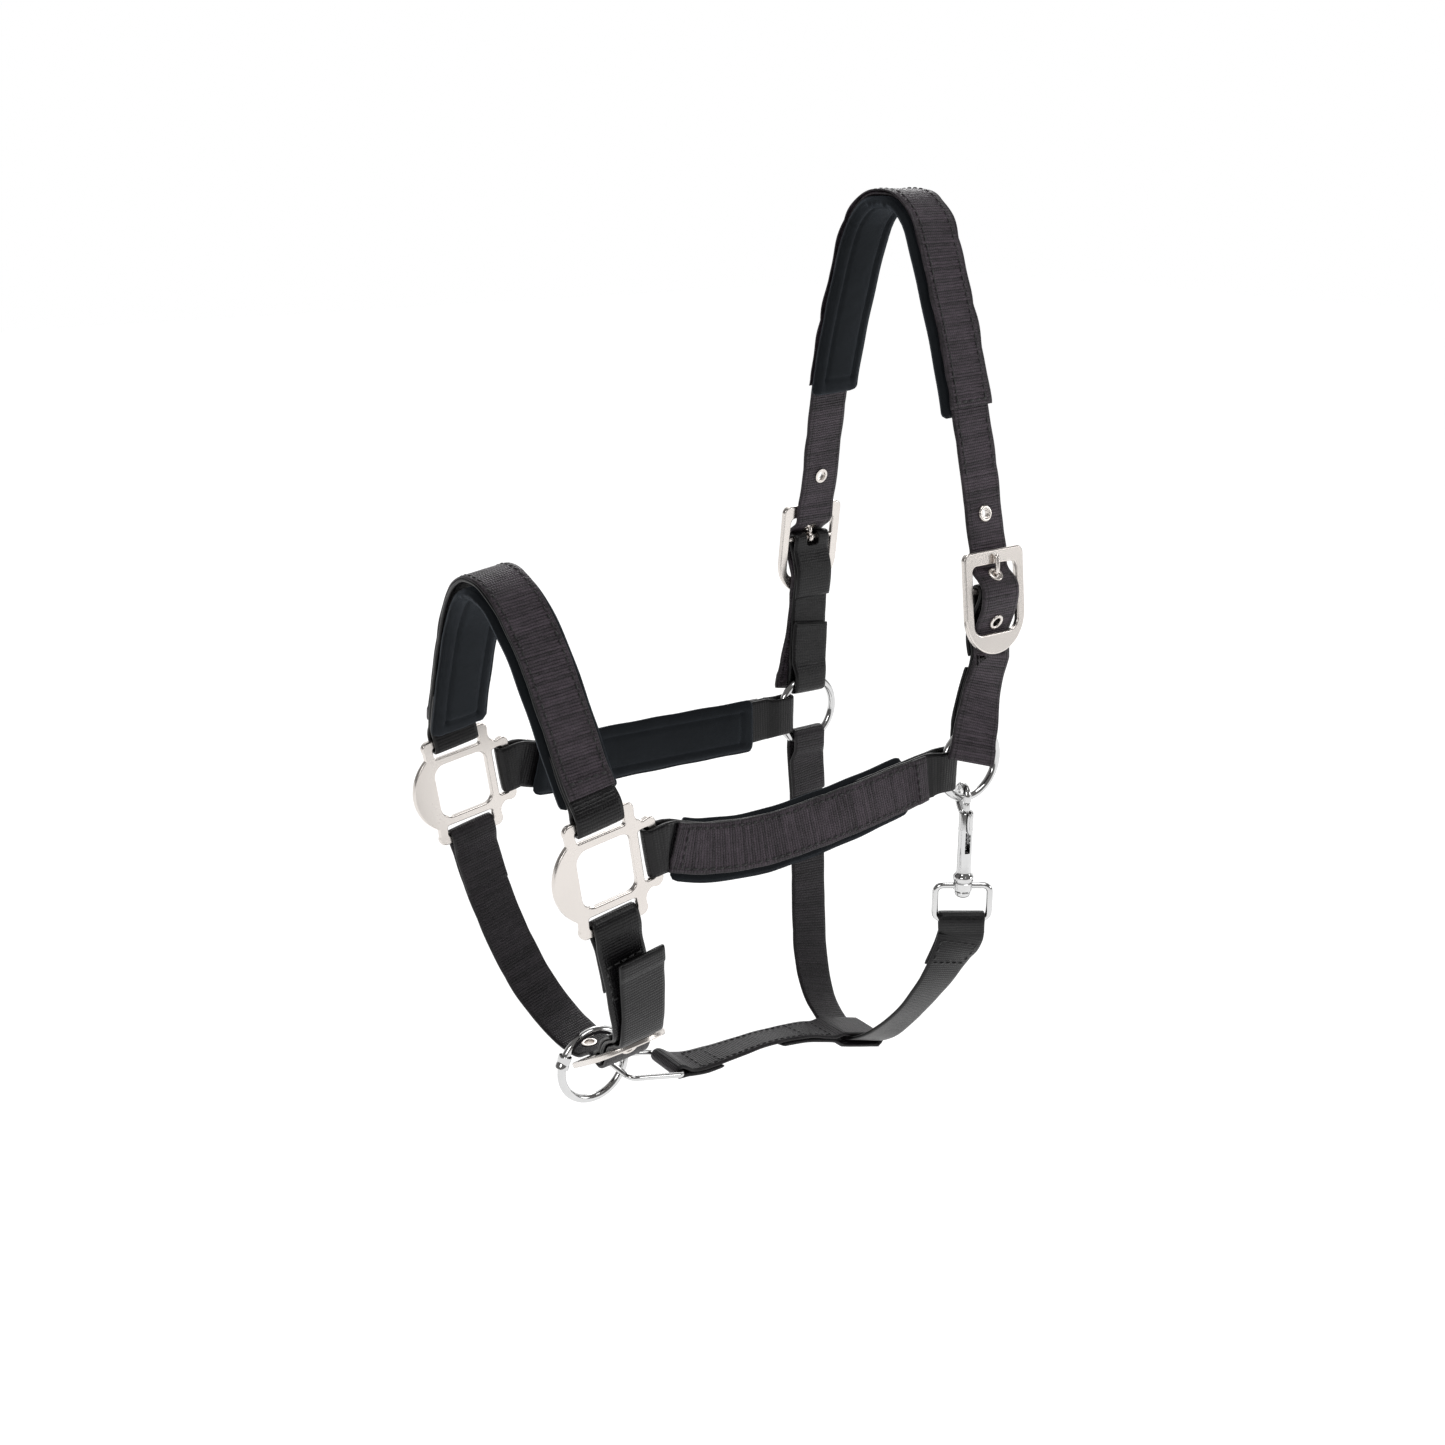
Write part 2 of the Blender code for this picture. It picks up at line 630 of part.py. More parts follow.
def noseband():
    one = square_frame(-1)
    two = square_frame(1)
    ride = [(-236.0, 69.6, -254.4), (-237.6, 64.8, -244.5), (-239.6, 54.4, -222.5), (-241.2, 44.5, -203.0)]
    ride += [(-243.0, 33.5, -184.0), (-244.8, 20.0, -168.5), (-245.6, 8.0, -161.6)]
    points = [local(one, 0, RIM_OUT, 0)] + [(x, -y, z) for x, y, z in ride] + [(-245.8, 0, -160.4)]
    points += [(x, y, z) for x, y, z in ride[::-1]] + [local(two, 0, RIM_OUT, 0)]
    r = rail(points, same(tuple(one[1]), len(points)), 5)
    total = r[0][-1]
    ribbon("noseband_strap", r, double_fold(total, RIM_FOLD, 34, RIM_FOLD, 34, 36), "webbing")
    layer = (WEB_THICK + GAP) / 2
    lift = -(layer + WEB_THICK / 2 + GAP + PAD_THICK / 2)
    rows = pad("noseband_pad", r, 9.5, total - 9.5, lift, 30, (total / 2 - 6.5, total / 2 + 6.5))
    u, y = one[1], np.array([0.0, 1.0, 0.0])
    down = np.cross(u, y)
    down = down if down[2] < 0 else -down
    floor = max(np.dot(p, down) for row in rows for p in row if abs(p[1]) < 6.6)
    for row in rows:
        for k, p in enumerate(row):
            if abs(p[1]) < 7 and floor - np.dot(p, down) < 1.2:
                row[k] = p + down * (floor - np.dot(p, down))
    verts, faces = tube(rows, False)
    solid("noseband_pad", verts, faces, "padding")


def cheek(word, side):
    frame = square_frame(side)
    ring = CHEEK_RING[side]
    sag = {-1: (-287.6, -291.0, -293.5, -291.0, -287.2), 1: (-287.5, -289.0, -290.0, -291.5, -292.5)}[side]
    xs = (-186.0, -170.0, -138.0, -90.0, -48.0)
    bow = (71.0, 72.5, 74.0, 73.5, 71.5)
    points = [local(frame, RIM_OUT, 0, 0), local(frame, RIM_OUT + 7, -0.3, 0.2)]
    points += [(x, side * y, z) for x, y, z in zip(xs, bow, sag)]
    points += [(ring[0] - RING_MID - 8, side * 70.2, ring[2]), (ring[0] - RING_MID, side * 70.0, ring[2])]
    roll = {-1: (0.16, 0.26, 0.3, 0.26, 0.16), 1: (0, 0, 0, 0, 0)}[side]
    wides = same(tuple(side * frame[2]), 2) + [(0, side * q, side) for q in roll] + same((0, 0, side), 2)
    r = rail(points, wides, 5)
    total = r[0][-1]
    ribbon(f"{word}_cheek_strap", r, double_fold(total, RIM_FOLD, 60, RING_FOLD, 60, 20), "webbing")
    layer = (WEB_THICK + GAP) / 2
    lift = -(layer + WEB_THICK / 2 + GAP + PAD_THICK / 2)
    rows = pad("", r, 18.0, total - 26.0, lift, 20)
    verts, faces = tube(rows, False)
    solid(f"{word}_cheek_pad", verts, faces, "padding")


def buckle_strap(word, side):
    frame = buckle_frame(side)
    ring = CHEEK_RING[side]
    points = [(ring[0], side * 70.0, ring[2] + RING_MID), (ring[0] + 0.6, side * 70.1, ring[2] + RING_MID + 14)]
    points += [local(frame, 0, v, n) for v, n in ((-29, -7.0), (-20, -7.0), (-14, -6.9), (-6, -4.6), (1, -1.2), (7, 0))]
    r = rail(points, same((-side, 0, 0), len(points)), 5)
    total = r[0][-1]
    strap = ribbon(f"{word}_buckle_strap", r, double_fold(total, RING_FOLD, 34, BAR_FOLD, 36, 12), "webbing")
    tongue_slot(strap, frame)


def tongue_slot(strap, frame):
    window = flat("hole", [(-4.3, 3.0), (4.3, 3.0), (4.3, 16.0), (-4.3, 16.0)], frame, 9.5, "webbing")
    cut(strap, [window])


def chin():
    frame = chin_frame()
    near = square_frame(-1)
    far = square_frame(1)
    fixed = [local(frame, 0, v, n) for v, n in ((7, 0), (1, -1.2), (-6, -4.6), (-14, -6.9), (-20, -7.0), (-27, -7.1))]
    fixed += [(-214.5, -65.6, -375.0), (-219.8, -69.4, -352.0), (-224.2, -71.2, -333.0), local(near, 0, -RIM_OUT, 0)]
    r = rail(fixed, same(tuple(frame[1]), 6) + same(tuple(near[1]), 4), 5)
    strap = ribbon("near_chin_strap", r, double_fold(r[0][-1], BAR_FOLD, 36, RIM_FOLD, 34, 14), "webbing")
    tongue_slot(strap, frame)
    loose = [local(far, 0, -RIM_OUT, 0), (-223.6, 70.4, -333.0), (-218.8, 67.6, -354.0), (-213.4, 61.0, -377.0)]
    loose += [(-207.4, 50.0, -399.0), (-202.2, 34.0, -415.0), (-199.0, 16.0, -422.6), (-198.0, 5.0, -423.9)]
    loose += [(-198.2, -4.5, -422.0)]
    loose += [local(frame, 0, v, n) for v, n in buckle_strand(frame, 1)[::-1][:-1]]
    loose += [(-210.6, -66.6, -382.6), (-213.0, -72.2, -366.0), (-216.0, -76.6, -348.0), (-219.0, -80.4, -331.0)]
    wides = same(tuple(far[1]), 2) + same((1, 0, 0.05), 7) + same(tuple(frame[1]), 14) + same((1, 0, 0.12), 4)
    t = rail(loose, wides, 3)
    start = fold(tail=34, **RIM_FOLD)
    layer = (WEB_THICK + GAP) / 2
    path = list(start)
    for s in t[0]:
        if s > path[len(start) - 1][0] + 2:
            ease = max(0.0, 1 - (s - start[-1][0]) / 30)
            path.append((s, layer * ease, WEB))
    strap = ribbon("far_chin_strap", t, path, "webbing")
    spots = [spot_near(t, path, local(frame, 0, 13.7, 1.0)), spot_near(t, path, local(frame, 0, -10.0, 0.2))]
    spots.append(spot_near(t, path, np.array([-198.0, 3.6, -423.9])))
    with_eyelets(strap, t, spots, [f"chin_eyelet_{k}" for k in (2, 1, 3)])


def throat():
    x, y = SNAP_AXIS
    a = math.radians(EYE_TURN)
    ring = CHEEK_RING[1]
    points = [(x, y, EYE_BAR_Z), (x, y + 0.6, EYE_BAR_Z - 12), (-6.0, -67.6, -401.0), (-9.0, -57.6, -421.0)]
    points += [(-12.6, -43.0, -443.0), (-15.6, -27.0, -461.5), (-18.0, -13.0, -471.4), (-19.0, 0.0, -473.2)]
    points += [(-18.4, 13.0, -471.8), (-16.0, 28.0, -465.6), (-11.4, 42.0, -454.6), (-5.0, 54.5, -436.0)]
    points += [(0.6, 63.4, -408.0), (3.4, 68.4, -372.0), (2.6, 69.9, -340.0)]
    points += [(ring[0], 70.1, ring[2] - RING_MID - 9), (ring[0], 70.0, ring[2] - RING_MID)]
    turned = (-math.cos(a), -math.sin(a), 0)
    wides = same(turned, 2) + [(-0.93, 0.3, 0), (-0.97, 0.12, 0.1), (-0.95, 0, 0.2)]
    wides += same((-0.94, 0, 0.33), 5) + [(-0.97, 0, 0.2), (-0.99, 0, 0.1)] + same((-1, 0, 0), 5)
    r = rail(points, wides, 5)
    eye = {"near": 0.0, "hold": 0.5, "reach": 1.8 + GAP + 1.25, "narrow": WEB}
    total = r[0][-1]
    ribbon("throat_strap", r, double_fold(total, eye, 34, RING_FOLD, 34, 40), "webbing")


def jaw():
    points = [LINK_REAR, (-135.0, 0, -455.0), (-112.0, 0, -456.6), (-86.0, 0, -457.4), (-60.0, 0, -461.0)]
    points += [(-42.0, 0, -465.9), (-19.0, 0, -473.4)]
    r = rail(points, same((0, -1, 0), len(points)), 5)
    link = {"near": 0.0, "hold": 0.0, "reach": 1.6 + GAP + 1.0, "narrow": WEB}
    loop = {"near": -13.4, "hold": 13.6, "reach": 3.5, "narrow": WEB}
    total = r[0][-1]
    ribbon("jaw_strap", r, double_fold(total, link, 30, loop, 62, 14), "webbing")


def build():
    clear()
    make_materials()
    for word, side in SIDES.items():
        nose_square(word, side)
        buckle(word, buckle_frame(side))
        tongue(word, buckle_frame(side))
        cheek(word, side)
        buckle_strap(word, side)
    buckle("chin", chin_frame())
    tongue("chin", chin_frame())
    rings()
    chin_link()
    snap()
    snap_eye()
    crown()
    noseband()
    chin()
    throat()
    jaw()


build()
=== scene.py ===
"""Webbing headcollar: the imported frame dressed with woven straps, pads, stitching and turned metal."""

import math

import bmesh
import bpy
import numpy as np
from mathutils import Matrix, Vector


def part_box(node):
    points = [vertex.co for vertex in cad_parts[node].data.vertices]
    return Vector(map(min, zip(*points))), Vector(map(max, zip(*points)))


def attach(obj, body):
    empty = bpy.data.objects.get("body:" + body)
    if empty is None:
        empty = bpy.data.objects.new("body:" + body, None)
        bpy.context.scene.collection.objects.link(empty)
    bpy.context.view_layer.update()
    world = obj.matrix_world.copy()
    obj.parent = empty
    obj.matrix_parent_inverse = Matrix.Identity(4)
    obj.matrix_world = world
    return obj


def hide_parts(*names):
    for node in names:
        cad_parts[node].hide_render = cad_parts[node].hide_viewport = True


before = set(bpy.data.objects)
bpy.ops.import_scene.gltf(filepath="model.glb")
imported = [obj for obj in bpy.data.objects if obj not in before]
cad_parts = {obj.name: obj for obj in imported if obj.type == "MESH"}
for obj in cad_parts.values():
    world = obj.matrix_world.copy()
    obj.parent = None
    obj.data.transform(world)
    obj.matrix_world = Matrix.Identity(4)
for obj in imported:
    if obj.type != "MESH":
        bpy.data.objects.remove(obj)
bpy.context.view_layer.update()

# dimensions shared with the frame, in millimetres
WEB = 25.0
WEB_THICK = 2.0
GAP = 0.35
LAYER = (WEB_THICK + GAP) / 2
PAD_WIDE = 31.4
PAD_THICK = 5.6
UNDER_SINGLE = -(WEB_THICK / 2 + GAP + PAD_THICK / 2)
UNDER_DOUBLE = -(LAYER + WEB_THICK / 2 + GAP + PAD_THICK / 2)
RING_MID = 19.75
RING_WIRE = 2.25
PLATE = 3.0
RIM_OUT = 27.6
SQUARE_AT = (-231.0, 70.0, -288.4)
BUCKLE_AT = (6.0, 77.0, -195.0)
LINK_REAR = (-149.5, 0.0, -450.0)
SNAP_AXIS = (-4.3, -75.0)
EYE_BAR_Z = -374.0
SNAP_TURN = math.radians(-20.0)
EYE_TURN = math.radians(-36.0)
SIDES = {"near": -1, "far": 1}
UPRIGHT = (0, 0, 1)

# where sewing runs, in millimetres from a strap's middle line, and how high it stands
ON_WEB = WEB_THICK / 2 + 0.06
FACING_LIFT = WEB_THICK / 2 + 0.5
FACING_THICK = 1.1
EDGE_ROW = 9.8
BOX_ROW = 10.2
CROSS_ROW = 10.5
STITCH_LONG = 2.9
STITCH_SPACE = 1.3
STITCH_RADIUS = 0.52


def middle_of(node):
    low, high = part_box(node)
    return (np.array(low) + np.array(high)) * 500


CHEEK_RING = {-1: middle_of("near_cheek_ring"), 1: middle_of("far_cheek_ring")}
CHIN_RING = middle_of("chin_ring")


# curves and rails


def unit(v):
    return v / np.linalg.norm(v)


def smooth(points, steps=6):
    """A curve through every point, cut into steps between each pair."""
    p = [np.array(q, float) for q in points]
    p = [2 * p[0] - p[1], *p, 2 * p[-1] - p[-2]]
    out = []
    for i in range(1, len(p) - 2):
        for k in range(steps):
            t = k / steps
            a = p[i + 1] - p[i - 1]
            b = 2 * p[i - 1] - 5 * p[i] + 4 * p[i + 1] - p[i + 2]
            c = 3 * p[i] - p[i - 1] - 3 * p[i + 1] + p[i + 2]
            out.append(0.5 * (2 * p[i] + a * t + b * t * t + c * t * t * t))
    out.append(p[-2])
    return np.array(out)


def lengths(line):
    return np.concatenate([[0], np.cumsum(np.linalg.norm(np.diff(line, axis=0), axis=1))])


def rail(points, wides, steps):
    """Lengths, centre line and width directions of a strap's route."""
    line = smooth(points, steps)
    return lengths(line), line, smooth(wides, steps)


def lerp(s, length, values):
    return np.array([np.interp(s, length, values[:, k]) for k in range(values.shape[1])])


def on_rail(r, s, n):
    """Point, width direction and normal at length s, lifted n."""
    length, line, wide = r
    inside = min(max(s, 0.0), length[-1])
    point = lerp(inside, length, line)
    ahead, behind = min(inside + 1.5, length[-1]), max(inside - 1.5, 0)
    along = unit(lerp(ahead, length, line) - lerp(behind, length, line))
    across = lerp(inside, length, wide)
    across = unit(across - along * np.dot(across, along))
    normal = np.cross(across, along)
    return point + along * (s - inside) + normal * n, across, normal


def fold(near, hold, reach, tail, narrow=WEB, open_for=9.0, steps=8):
    """Inner leg and turn round a bar at length 0: the sewn end, the turn, the outer leg."""
    leg = [(near, reach, narrow)]
    for k in range(5):
        t = k / 4
        ease = t * t * (3 - 2 * t)
        leg.append((hold + open_for * t, reach + (LAYER - reach) * ease, narrow + (WEB - narrow) * ease))
    bottom = hold + open_for
    parts = max(1, round((tail - bottom) / 9))
    path = [(tail + (bottom - tail) * k / parts, -LAYER, WEB) for k in range(parts)]
    path += [(s, -n, w) for s, n, w in reversed(leg)]
    turn = [math.pi * k / steps for k in range(1, steps)]
    path += [(near - reach * math.sin(a), -reach * math.cos(a), narrow) for a in turn]
    return path + leg


def flip(path, total):
    return [(total - s, n, w) for s, n, w in reversed(path)]


def double_fold(total, first, first_tail, last, last_tail, steps):
    """The path of a strap sewn back on itself at both ends."""
    a = fold(tail=first_tail, **first)
    b = flip(fold(tail=last_tail, **last), total)
    start, end = a[-1][0], b[0][0]
    between = [(start + (end - start) * k / steps, LAYER, WEB) for k in range(1, steps)]
    return a + between + b


RIM_FOLD = {"near": -1.9, "hold": 2.4, "reach": 2.9, "narrow": WEB}
RING_FOLD = {"near": -4.1, "hold": 2.9, "reach": 3.7, "narrow": 22.2}
BAR_FOLD = {"near": 0.0, "hold": 0.0, "reach": 2.9, "narrow": WEB}


# meshes


def put(name, verts, faces, mat, body, nodes=(), uv=None, smooth_angle=None):
    """A mesh piece in millimetres, riding a body and standing for CAD nodes."""
    mesh = bpy.data.meshes.new(name)
    mesh.from_pydata([tuple(0.001 * c for c in v) for v in verts], [], faces)
    if uv is not None:
        layer = mesh.uv_layers.new(name="weave")
        table = np.array(uv, dtype=np.float32)
        index = np.empty(len(mesh.loops), dtype=np.int64)
        mesh.loops.foreach_get("vertex_index", index)
        layer.data.foreach_set("uv", (table[index] * 0.001).ravel())
    work = bmesh.new()
    work.from_mesh(mesh)
    bmesh.ops.recalc_face_normals(work, faces=work.faces)
    if work.calc_volume(signed=True) < 0:
        bmesh.ops.reverse_faces(work, faces=work.faces)
    work.to_mesh(mesh)
    work.free()
    mesh.polygons.foreach_set("use_smooth", [True] * len(mesh.polygons))
    if smooth_angle:
        mesh.set_sharp_from_angle(angle=math.radians(smooth_angle))
    item = bpy.data.objects.new(name, mesh)
    bpy.context.collection.objects.link(item)
    mesh.materials.append(mat)
    if body:
        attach(item, body)
    if nodes:
        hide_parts(*nodes)
    return item


def grid(rows, closed=False):
    """Vertices and faces of a skin over rows of points; an open one is capped."""
    count, around = len(rows), len(rows[0])
    verts = [p for row in rows for p in row]
    faces = []
    for i in range(count if closed else count - 1):
        a, b = i * around, ((i + 1) % count) * around
        for j in range(around):
            k = (j + 1) % around
            faces.append((a + j, a + k, b + k, b + j))
    if not closed:
        faces.append(tuple(range(around)))
        faces.append(tuple(range((count - 1) * around, count * around)))
    return verts, faces


def web_section(wide, thick):
    """Across and lift of each point round a woven strap's rounded section."""
    half = wide / 2
    top = [(-1 + 2 * k / 14) for k in range(15)]
    out = [(a * (half - 0.5), thick / 2 * (1 - 0.14 * a**8)) for a in top]
    out += [(half - 0.12, thick * 0.3), (half, 0.0), (half - 0.12, -thick * 0.3)]
    out += [(a * (half - 0.5), -thick / 2 * (1 - 0.14 * a**8)) for a in reversed(top)]
    out += [(-half + 0.12, -thick * 0.3), (-half, 0.0), (-half + 0.12, thick * 0.3)]
    return out


def wire(points, radii, sides=20, closed=False, plane=None):
    """Vertices and faces of round wire along points; plane is the normal of a flat run."""
    pts = [np.array(p, float) for p in points]
    count = len(pts)
    radii = [radii] * count if np.isscalar(radii) else radii
    rows = []
    side = None
    for i, p in enumerate(pts):
        before = pts[i - 1] if closed or i else pts[0]
        after = pts[(i + 1) % count] if closed or i < count - 1 else pts[-1]
        along = unit(after - before)
        if plane is not None:
            side = unit(np.cross(plane, along))
        elif side is None:
            side = unit(np.cross(along, [0.21, 0.13, 0.97]))
        side = unit(side - along * np.dot(side, along))
        other = np.cross(along, side)
        turn = [2 * math.pi * k / sides for k in range(sides)]
        rows.append([p + radii[i] * (side * math.cos(a) + other * math.sin(a)) for a in turn])
    return grid(rows, closed)


def tube(name, points, radii, mat, body, nodes, sides=20, closed=False, plane=None):
    verts, faces = wire(points, radii, sides, closed, plane)
    return put(name, verts, faces, mat, body, nodes, None, 50)


def round_tube(points, radius, steps=5):
    """Points and radii of a wire whose two ends are rounded off."""
    line = smooth(points, steps)
    length = lengths(line)
    radii = []
    for s in length:
        d = min(s, length[-1] - s)
        radii.append(radius * math.sqrt(max(0.04, 1 - (1 - min(d / radius, 1)) ** 2)))
    return line, radii


def lathe(centre, axis, side, other, profile, sides, closed=True):
    """A profile of (radius, height) points turned about an axis; an open one gets two end caps."""
    rows = []
    for k in range(sides):
        a = 2 * math.pi * k / sides
        out = side * math.cos(a) + other * math.sin(a)
        rows.append([centre + out * radius + axis * height for radius, height in profile])
    verts, faces = grid(rows, True)
    if not closed:
        around = len(profile)
        faces = [f for f in faces if f[0] % around != around - 1]
        faces.append(tuple(k * around for k in range(sides)))
        faces.append(tuple(k * around + around - 1 for k in range(sides)))
    return verts, faces


def turned(name, centre, axis, profile, mat, body, nodes, sides=48, closed=True):
    """A shape turned about an axis from (radius, height) points."""
    axis = unit(np.array(axis, float))
    side = unit(np.cross(axis, [0.31, 0.2, 0.93]))
    other = np.cross(axis, side)
    verts, faces = lathe(np.array(centre, float), axis, side, other, profile, sides, closed)
    return put(name, verts, faces, mat, body, nodes, None, 38)


def arc(x, z, radius, start, end, steps=10):
    turn = [math.radians(start + (end - start) * k / steps) for k in range(steps + 1)]
    return [(x + radius * math.cos(a), z + radius * math.sin(a)) for a in turn]


def round_box(x0, x1, z0, z1, radius, steps=8):
    return (
        arc(x1 - radius, z1 - radius, radius, 0, 90, steps)
        + arc(x0 + radius, z1 - radius, radius, 90, 180, steps)
        + arc(x0 + radius, z0 + radius, radius, 180, 270, steps)
        + arc(x1 - radius, z0 + radius, radius, 270, 360, steps)
    )


def evaluated(item):
    graph = bpy.context.evaluated_depsgraph_get()
    return bpy.data.meshes.new_from_object(item.evaluated_get(graph))


def plate_mesh(outlines, place, thick, bevel):
    """Vertices and faces of a bevelled plate with holes, in millimetres."""
    curve = bpy.data.curves.new("plate", "CURVE")
    curve.dimensions = "2D"
    curve.fill_mode = "BOTH"
    curve.extrude = thick / 2 - bevel
    curve.bevel_depth = bevel
    curve.bevel_resolution = 3
    curve.offset = -bevel
    for outline in outlines:
        spline = curve.splines.new("POLY")
        spline.points.add(len(outline) - 1)
        for point, (a, b) in zip(spline.points, outline):
            point.co = (a, b, 0, 1)
        spline.use_cyclic_u = True
    item = bpy.data.objects.new("plate", curve)
    bpy.context.collection.objects.link(item)
    mesh = evaluated(item)
    centre, u, v, n = place
    verts = [centre + u * p.co.x + v * p.co.y + n * p.co.z for p in mesh.vertices]
    faces = [tuple(f.vertices) for f in mesh.polygons]
    bpy.data.objects.remove(item)
    return verts, faces


def true_faces(item):
    """Keeps a plate's broad faces flat in shade beside its rounded edges."""
    mod = item.modifiers.new("true_faces", "WEIGHTED_NORMAL")
    mod.mode = "FACE_AREA"
    mod.weight = 90
    mod.keep_sharp = True


def merged(parts):
    verts, faces = [], []
    for more, polygons in parts:
        base = len(verts)
        verts += list(more)
        faces += [tuple(base + k for k in f) for f in polygons]
    return verts, faces


def local(place, u, v, n):
    return place[0] + place[1] * u + place[2] * v + place[3] * n


def square_place(side):
    a = math.radians(8.0)
    u = np.array([math.cos(a), 0, math.sin(a)])
    v = np.array([-math.sin(a), 0, math.cos(a)])
    return np.array([SQUARE_AT[0], side * SQUARE_AT[1], SQUARE_AT[2]]), u, v, np.array([0.0, side, 0.0])


def buckle_place(side):
    a = math.radians(7.0)
    v = np.array([0, -side * math.sin(a), math.cos(a)])
    n = np.array([0, side * math.cos(a), math.sin(a)])
    return np.array([BUCKLE_AT[0], side * BUCKLE_AT[1], BUCKLE_AT[2]]), np.array([1.0, 0, 0]), v, n


def chin_place():
    v = unit(np.array([10.0, 45.5, -28.8]))
    u = np.array([1.0, 0.0, 0.08])
    u = unit(u - v * np.dot(u, v))
    n = np.cross(v, u)
    return np.array([-204.5, -39.5, -403.5]), u, v, n if n[1] < 0 else -n


# materials


class Nodes:
    """Short names for building a shader tree."""

    def __init__(self, name):
        self.mat = bpy.data.materials.new(name)
        self.mat.use_nodes = True
        self.tree = self.mat.node_tree
        self.shader = self.tree.nodes["Principled BSDF"]

    def add(self, kind, **values):
        node = self.tree.nodes.new(kind)
        for key, value in values.items():
            if hasattr(node, key):
                setattr(node, key, value)
            else:
                node.inputs[key.replace("_", " ")].default_value = value
        return node

    def link(self, a, b):
        self.tree.links.new(a, b)

    def math(self, operation, a, b=None, clamp=False):
        node = self.tree.nodes.new("ShaderNodeMath")
        node.operation = operation
        node.use_clamp = clamp
        for socket, value in zip(node.inputs, (a, b)):
            if value is None:
                continue
            if isinstance(value, (int, float)):
                socket.default_value = value
            else:
                self.link(value, socket)
        return node.outputs[0]

    def span(self, value, low, high, to_low=0.0, to_high=1.0):
        node = self.tree.nodes.new("ShaderNodeMapRange")
        self.link(value, node.inputs["Value"])
        ends = {"From Min": low, "From Max": high, "To Min": to_low, "To Max": to_high}
        for key, v in ends.items():
            node.inputs[key].default_value = v
        return node.outputs["Result"]

    def noise(self, vector, scale, detail=2.0, rough=0.5):
        node = self.tree.nodes.new("ShaderNodeTexNoise")
        node.inputs["Scale"].default_value = scale
        node.inputs["Detail"].default_value = detail
        node.inputs["Roughness"].default_value = rough
        self.link(vector, node.inputs["Vector"])
        return node.outputs["Fac"]

    def mix(self, factor, dark, light):
        node = self.tree.nodes.new("ShaderNodeMix")
        node.data_type = "RGBA"
        self.link(factor, node.inputs["Factor"])
        node.inputs[6].default_value = (*dark, 1)
        node.inputs[7].default_value = (*light, 1)
        return node.outputs[2]

    def bump(self, height, distance):
        node = self.tree.nodes.new("ShaderNodeBump")
        node.inputs["Distance"].default_value = distance
        node.inputs["Strength"].default_value = 1.0
        self.link(height, node.inputs["Height"])
        self.link(node.outputs["Normal"], self.shader.inputs["Normal"])

    def set(self, **values):
        for key, value in values.items():
            self.shader.inputs[key.replace("_", " ")].default_value = value


# in metres: warp yarn spacing, a rib's wander, the seam line and the selvedge's two edges
YARN = 0.0013
WANDER = 0.0009
SEAM = EDGE_ROW / 1000
SELVEDGE = (0.0121, 0.0111)


